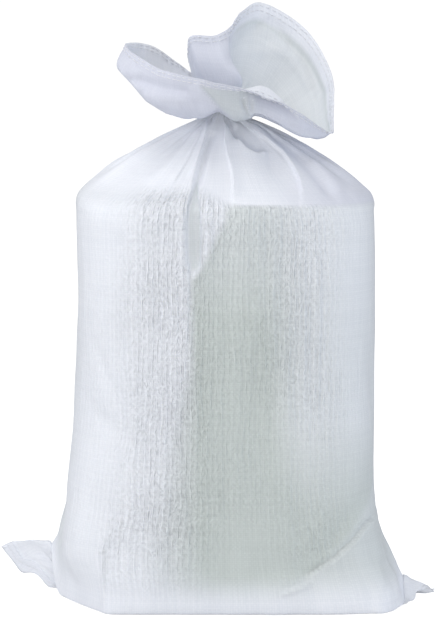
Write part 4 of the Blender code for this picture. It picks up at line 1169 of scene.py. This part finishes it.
mouthStitchSettings = {"fromRim": (0.0050, 0.0125), "count": 108, "share": 0.80, "radius": 0.00060,
                       "arch": 0.0011, "steps": 7, "sides": 6}
seamStitchSettings = {"fromEdge": 0.0095, "count": 132, "share": 0.88, "radius": 0.00055,
                      "arch": 0.0007, "steps": 7, "sides": 6, "floorGap": 0.0001}
seamTails = [
    # share of the way round where it leaves the seam, its direction there, its length and how it bends
    (0.4985, (-0.86, 0.20, 0.46), 0.0130, (0.0010, 0.0015, 0.0030)),
    (0.5030, (-0.95, 0.05, -0.10), 0.0100, (0.0000, -0.0012, 0.0014)),
    (0.0010, (0.88, -0.25, 0.38), 0.0130, (-0.0006, 0.0010, 0.0030)),
    (0.9980, (0.90, -0.30, 0.05), 0.0110, (0.0004, -0.0014, -0.0016)),
    (0.0030, (0.80, -0.10, -0.10), 0.0080, (0.0000, 0.0010, 0.0012)),
]


def stitchTubes(surface, normals, columnShares, row, settings, seed):
    # share runs along the stitch; its height is -dip + arch sin(pi share) to the power 0.6
    count, steps = settings["count"], settings["steps"]
    random = np.random.default_rng(seed)
    along = np.linspace(0.0, 1.0, steps)
    start = np.arange(count) + 0.10 * random.uniform(-1, 1, count)
    share = (start[:, None] + settings["share"] * along) / count
    turned = 0.12 * random.uniform(-1, 1, count)[:, None]
    rows = row + turned + 0.10 * random.uniform(-1, 1, count)[:, None] * along
    place = onSurface(surface, columnShares, share, rows)
    up = onSurface(normals, columnShares, share, rows)
    height = -0.5 * settings["arch"] + 1.1 * settings["arch"] * np.sin(math.pi * along) ** 0.6
    radius = settings["radius"] * (0.55 + 0.45 * np.sin(math.pi * along) ** 0.5) + np.zeros((count, 1))
    return sweptTubes(place + up * height[None, :, None], up, radius, settings["sides"])


def tailTubes(surface, columnShares, settings):
    # a short loose end: a straight line that bends by the square of the share along it
    along = np.linspace(0.0, 1.0, settings["steps"])[None, :, None]
    shares, directions, lengths, bends = (np.array([tail[k] for tail in seamTails]) for k in range(4))
    start = onSurface(surface, columnShares, shares, np.full(len(seamTails), 2.0))
    paths = start[:, None] + directions[:, None] * lengths[:, None, None] * along + bends[:, None] * along**2
    radius = settings["radius"] * np.linspace(0.8, 0.45, settings["steps"]) + np.zeros((len(seamTails), 1))
    return sweptTubes(paths, np.array([0.0, 1.0, 0.0]) + np.zeros(paths.shape), radius, settings["sides"])


seamThread = threadMaterial("polyesterThread",
                            {"twist": 0.0028, "plies": 3, "dark": "#c9ccd5", "light": "#f8f9fc"})

hemShell, hemAlong, hemOutside, hemNormals = buildHem()
# the hem gets a little painted shade
hemLayers = {title: np.full(hemShell.shape[:2], value)
             for title, value in (("ribs", 0.0), ("contentsAndShade", 0.0), ("thinAndShaded", 0.15))}
bottomHem = meshFromGrid("bottomHem", hemShell, bodyUv, hemAlong, wovenPolypropylene, hemLayers,
                         closedRows=True)
print("hem", hemShell.shape)

hemRow = seamStitchSettings["fromEdge"] / hemSettings["width"] * (hemSettings["rows"] - 1)
seamTubes = [stitchTubes(hemOutside, hemNormals, bodyShares, hemRow, seamStitchSettings, 61),
             tailTubes(hemOutside, bodyShares, seamStitchSettings)]
seamTubes[0][..., 2] = np.maximum(seamTubes[0][..., 2], seamStitchSettings["floorGap"])
seamStitches = meshFromTubes("seamStitches", np.concatenate(seamTubes), seamThread)
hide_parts("bottom_seam_thread")

rimTubes = []
for number, distance in enumerate(mouthStitchSettings["fromRim"]):
    rimRow = np.interp(mouthAlong[-1] - distance, mouthAlong, np.arange(len(mouthAlong)))
    for wall, normals in ((mouthOutside, mouthNormals), (mouthInside, -mouthNormals)):
        rimTubes.append(stitchTubes(wall, normals, mouthShares, rimRow, mouthStitchSettings, 71 + number))
mouthStitches = meshFromTubes("mouthStitches", np.concatenate(rimTubes), seamThread)
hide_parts("mouth_hem_thread")
print("stitches", len(seamTubes[0]) + sum(len(tubes) for tubes in rimTubes))

# The twine round the neck: three plies wound round each other, three turns and a knot at the back

twineSettings = {
    "radius": 0.0155, "turns": 3.15, "low": 0.6312, "high": 0.6392,
    "plyRadius": 0.00078, "plyOffset": 0.00086, "plyTwist": 0.0100, "steps": 420, "sides": 6,
    "knotSteps": 110, "knotWide": 0.0024, "knotTall": 0.0017, "knotDeep": 0.0012, "knotOut": 0.0010,
}


def twinePaths():
    # a helix round the neck, and a trefoil knot that stands on it at the back:
    # x = a (sin t + 1.6 sin 2t), z = middle + b (cos t - 1.6 cos 2t), y = R + out - c sin 3t
    t = twineSettings
    angle = math.pi / 2 + 2 * math.pi * t["turns"] * np.linspace(0, 1, t["steps"])
    height = np.linspace(t["low"], t["high"], t["steps"])
    helix = np.stack([t["radius"] * np.cos(angle), t["radius"] * np.sin(angle), height], axis=1)
    turn = 2 * math.pi * np.linspace(0, 1, t["knotSteps"])
    x = t["knotWide"] * (np.sin(turn) + 1.6 * np.sin(2 * turn))
    y = t["radius"] + t["knotOut"] - t["knotDeep"] * np.sin(3 * turn)
    z = 0.5 * (t["low"] + t["high"]) + t["knotTall"] * (np.cos(turn) - 1.6 * np.cos(2 * turn))
    return helix, np.stack([x, y, z], axis=1)


def twistedTubes(path, outward):
    # each ply runs round the path: p + offset (cos a side + sin a up), with a = 2 pi length / twist
    t = twineSettings
    tangent = unit(np.gradient(path, axis=0))
    side = unit(np.cross(tangent, outward))
    up = np.cross(side, tangent)
    angle = 2 * math.pi * (lengthAlong(path) / t["plyTwist"] + np.arange(3)[:, None] / 3)
    plies = path + t["plyOffset"] * (np.cos(angle)[..., None] * side + np.sin(angle)[..., None] * up)
    return sweptTubes(plies, up + np.zeros(plies.shape), np.full(plies.shape[:2], t["plyRadius"]), t["sides"])


twinePath, knotPath = twinePaths()
twineTubes = twistedTubes(twinePath, twinePath * [1, 1, 0])
knotTubes = twistedTubes(knotPath, np.array([0.0, 1.0, 0.02]) + np.zeros(knotPath.shape))
whiteTwine = threadMaterial("polypropyleneTwine",
                            {"twist": 0.0060, "plies": 2, "dark": "#a9a9a6", "light": "#ebeae4"})
neckTwine = meshFromTubes("neckTwine", twineTubes, whiteTwine)
neckKnot = meshFromTubes("neckKnot", knotTubes, whiteTwine)
for piece in (neckTwine, neckKnot):
    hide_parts("neck_tie")
print("twine", twineTubes.shape)

# Floor, lights and camera

stageSettings = {"floorSide": 30, "floorColour": "#e9e9e9", "floorGlow": 0.78,
                 "skySeen": 1.05, "skyAmbient": 0.44}
softboxes = [
    # name, place, the point it looks at, side in metres, watts and colour
    ("leftSoftbox", (-2.2, -0.9, 1.3), (0, 0, 0.4), 1.6, 20, "#f6f8ff"),
    ("rightSoftbox", (2.3, -0.5, 0.7), (0, 0, 0.3), 1.4, 11.5, "#dbe8ff"),
    ("topSoftbox", (-0.3, -0.5, 2.6), (0, 0, 0.5), 1.6, 18.5, "#ffffff"),
    ("frontFill", (0.3, -3.0, 0.30), (0, 0, 0.50), 1.6, 26, "#ffffff"),
]
cameraSettings = {"eye": (-0.0019, -3.1761, 0.7642), "lens": 143.4, "sensor": 36.0, "down": 7.0}


def addStage():
    # a wide pale floor that melts into a white surrounding; the glow is for the camera alone
    material, tree, shader = newMaterial("paleFloor", {
        "Base Color": toLinear(stageSettings["floorColour"]), "Roughness": 0.9, "Specular IOR Level": 0.1,
        "Emission Color": (1, 1, 1, 1)})
    path = addNode(tree, "ShaderNodeLightPath")
    glow = addNode(tree, "ShaderNodeMath", {"operation": "MULTIPLY", 1: stageSettings["floorGlow"]},
                   {0: path.outputs["Is Camera Ray"]})
    tree.links.new(glow.outputs[0], shader.inputs["Emission Strength"])
    bpy.ops.mesh.primitive_plane_add(size=stageSettings["floorSide"], location=(0, 0, 0))
    floor = bpy.context.object
    floor.name = "floor"
    floor.data.materials.append(material)
    world = bpy.data.worlds.new("whiteStudio")
    bpy.context.scene.world = world
    world.use_nodes = True
    tree = world.node_tree
    path = addNode(tree, "ShaderNodeLightPath")
    shown = {"From Min": 0.0, "From Max": 1.0,
             "To Min": stageSettings["skyAmbient"], "To Max": stageSettings["skySeen"]}
    strength = addNode(tree, "ShaderNodeMapRange", shown, {"Value": path.outputs["Is Camera Ray"]})
    tree.links.new(strength.outputs[0], tree.nodes["Background"].inputs["Strength"])
    tree.nodes["Background"].inputs["Color"].default_value = (1, 1, 1, 1)


def addSoftbox(name, place, aim, size, power, hexText):
    # a square area light that looks at a point of the sack
    light = bpy.data.lights.new(name, "AREA")
    light.shape = "SQUARE"
    light.size = size
    light.energy = power
    light.color = toLinear(hexText)[:3]
    lamp = bpy.data.objects.new(name, light)
    bpy.context.scene.collection.objects.link(lamp)
    direction = np.array(aim, float) - np.array(place, float)
    yaw = math.atan2(direction[0], -direction[1])
    pitch = math.atan2(math.hypot(direction[0], direction[1]), -direction[2])
    lamp.location = place
    lamp.rotation_euler = (pitch, 0.0, math.pi + yaw)


def addCamera():
    # at the photograph's viewing angle: 7 degrees above level, about 3.2 m away
    data = bpy.data.cameras.new("photoView")
    data.sensor_width = cameraSettings["sensor"]
    data.lens = cameraSettings["lens"]
    camera = bpy.data.objects.new("photoView", data)
    bpy.context.scene.collection.objects.link(camera)
    camera.location = np.array(cameraSettings["eye"]) + neckAxis
    camera.rotation_euler = (math.radians(90 - cameraSettings["down"]), 0.0, 0.0)
    bpy.context.scene.camera = camera


addStage()
for softbox in softboxes:
    addSoftbox(*softbox)
addCamera()
bpy.context.scene.view_settings.view_transform = "Standard"
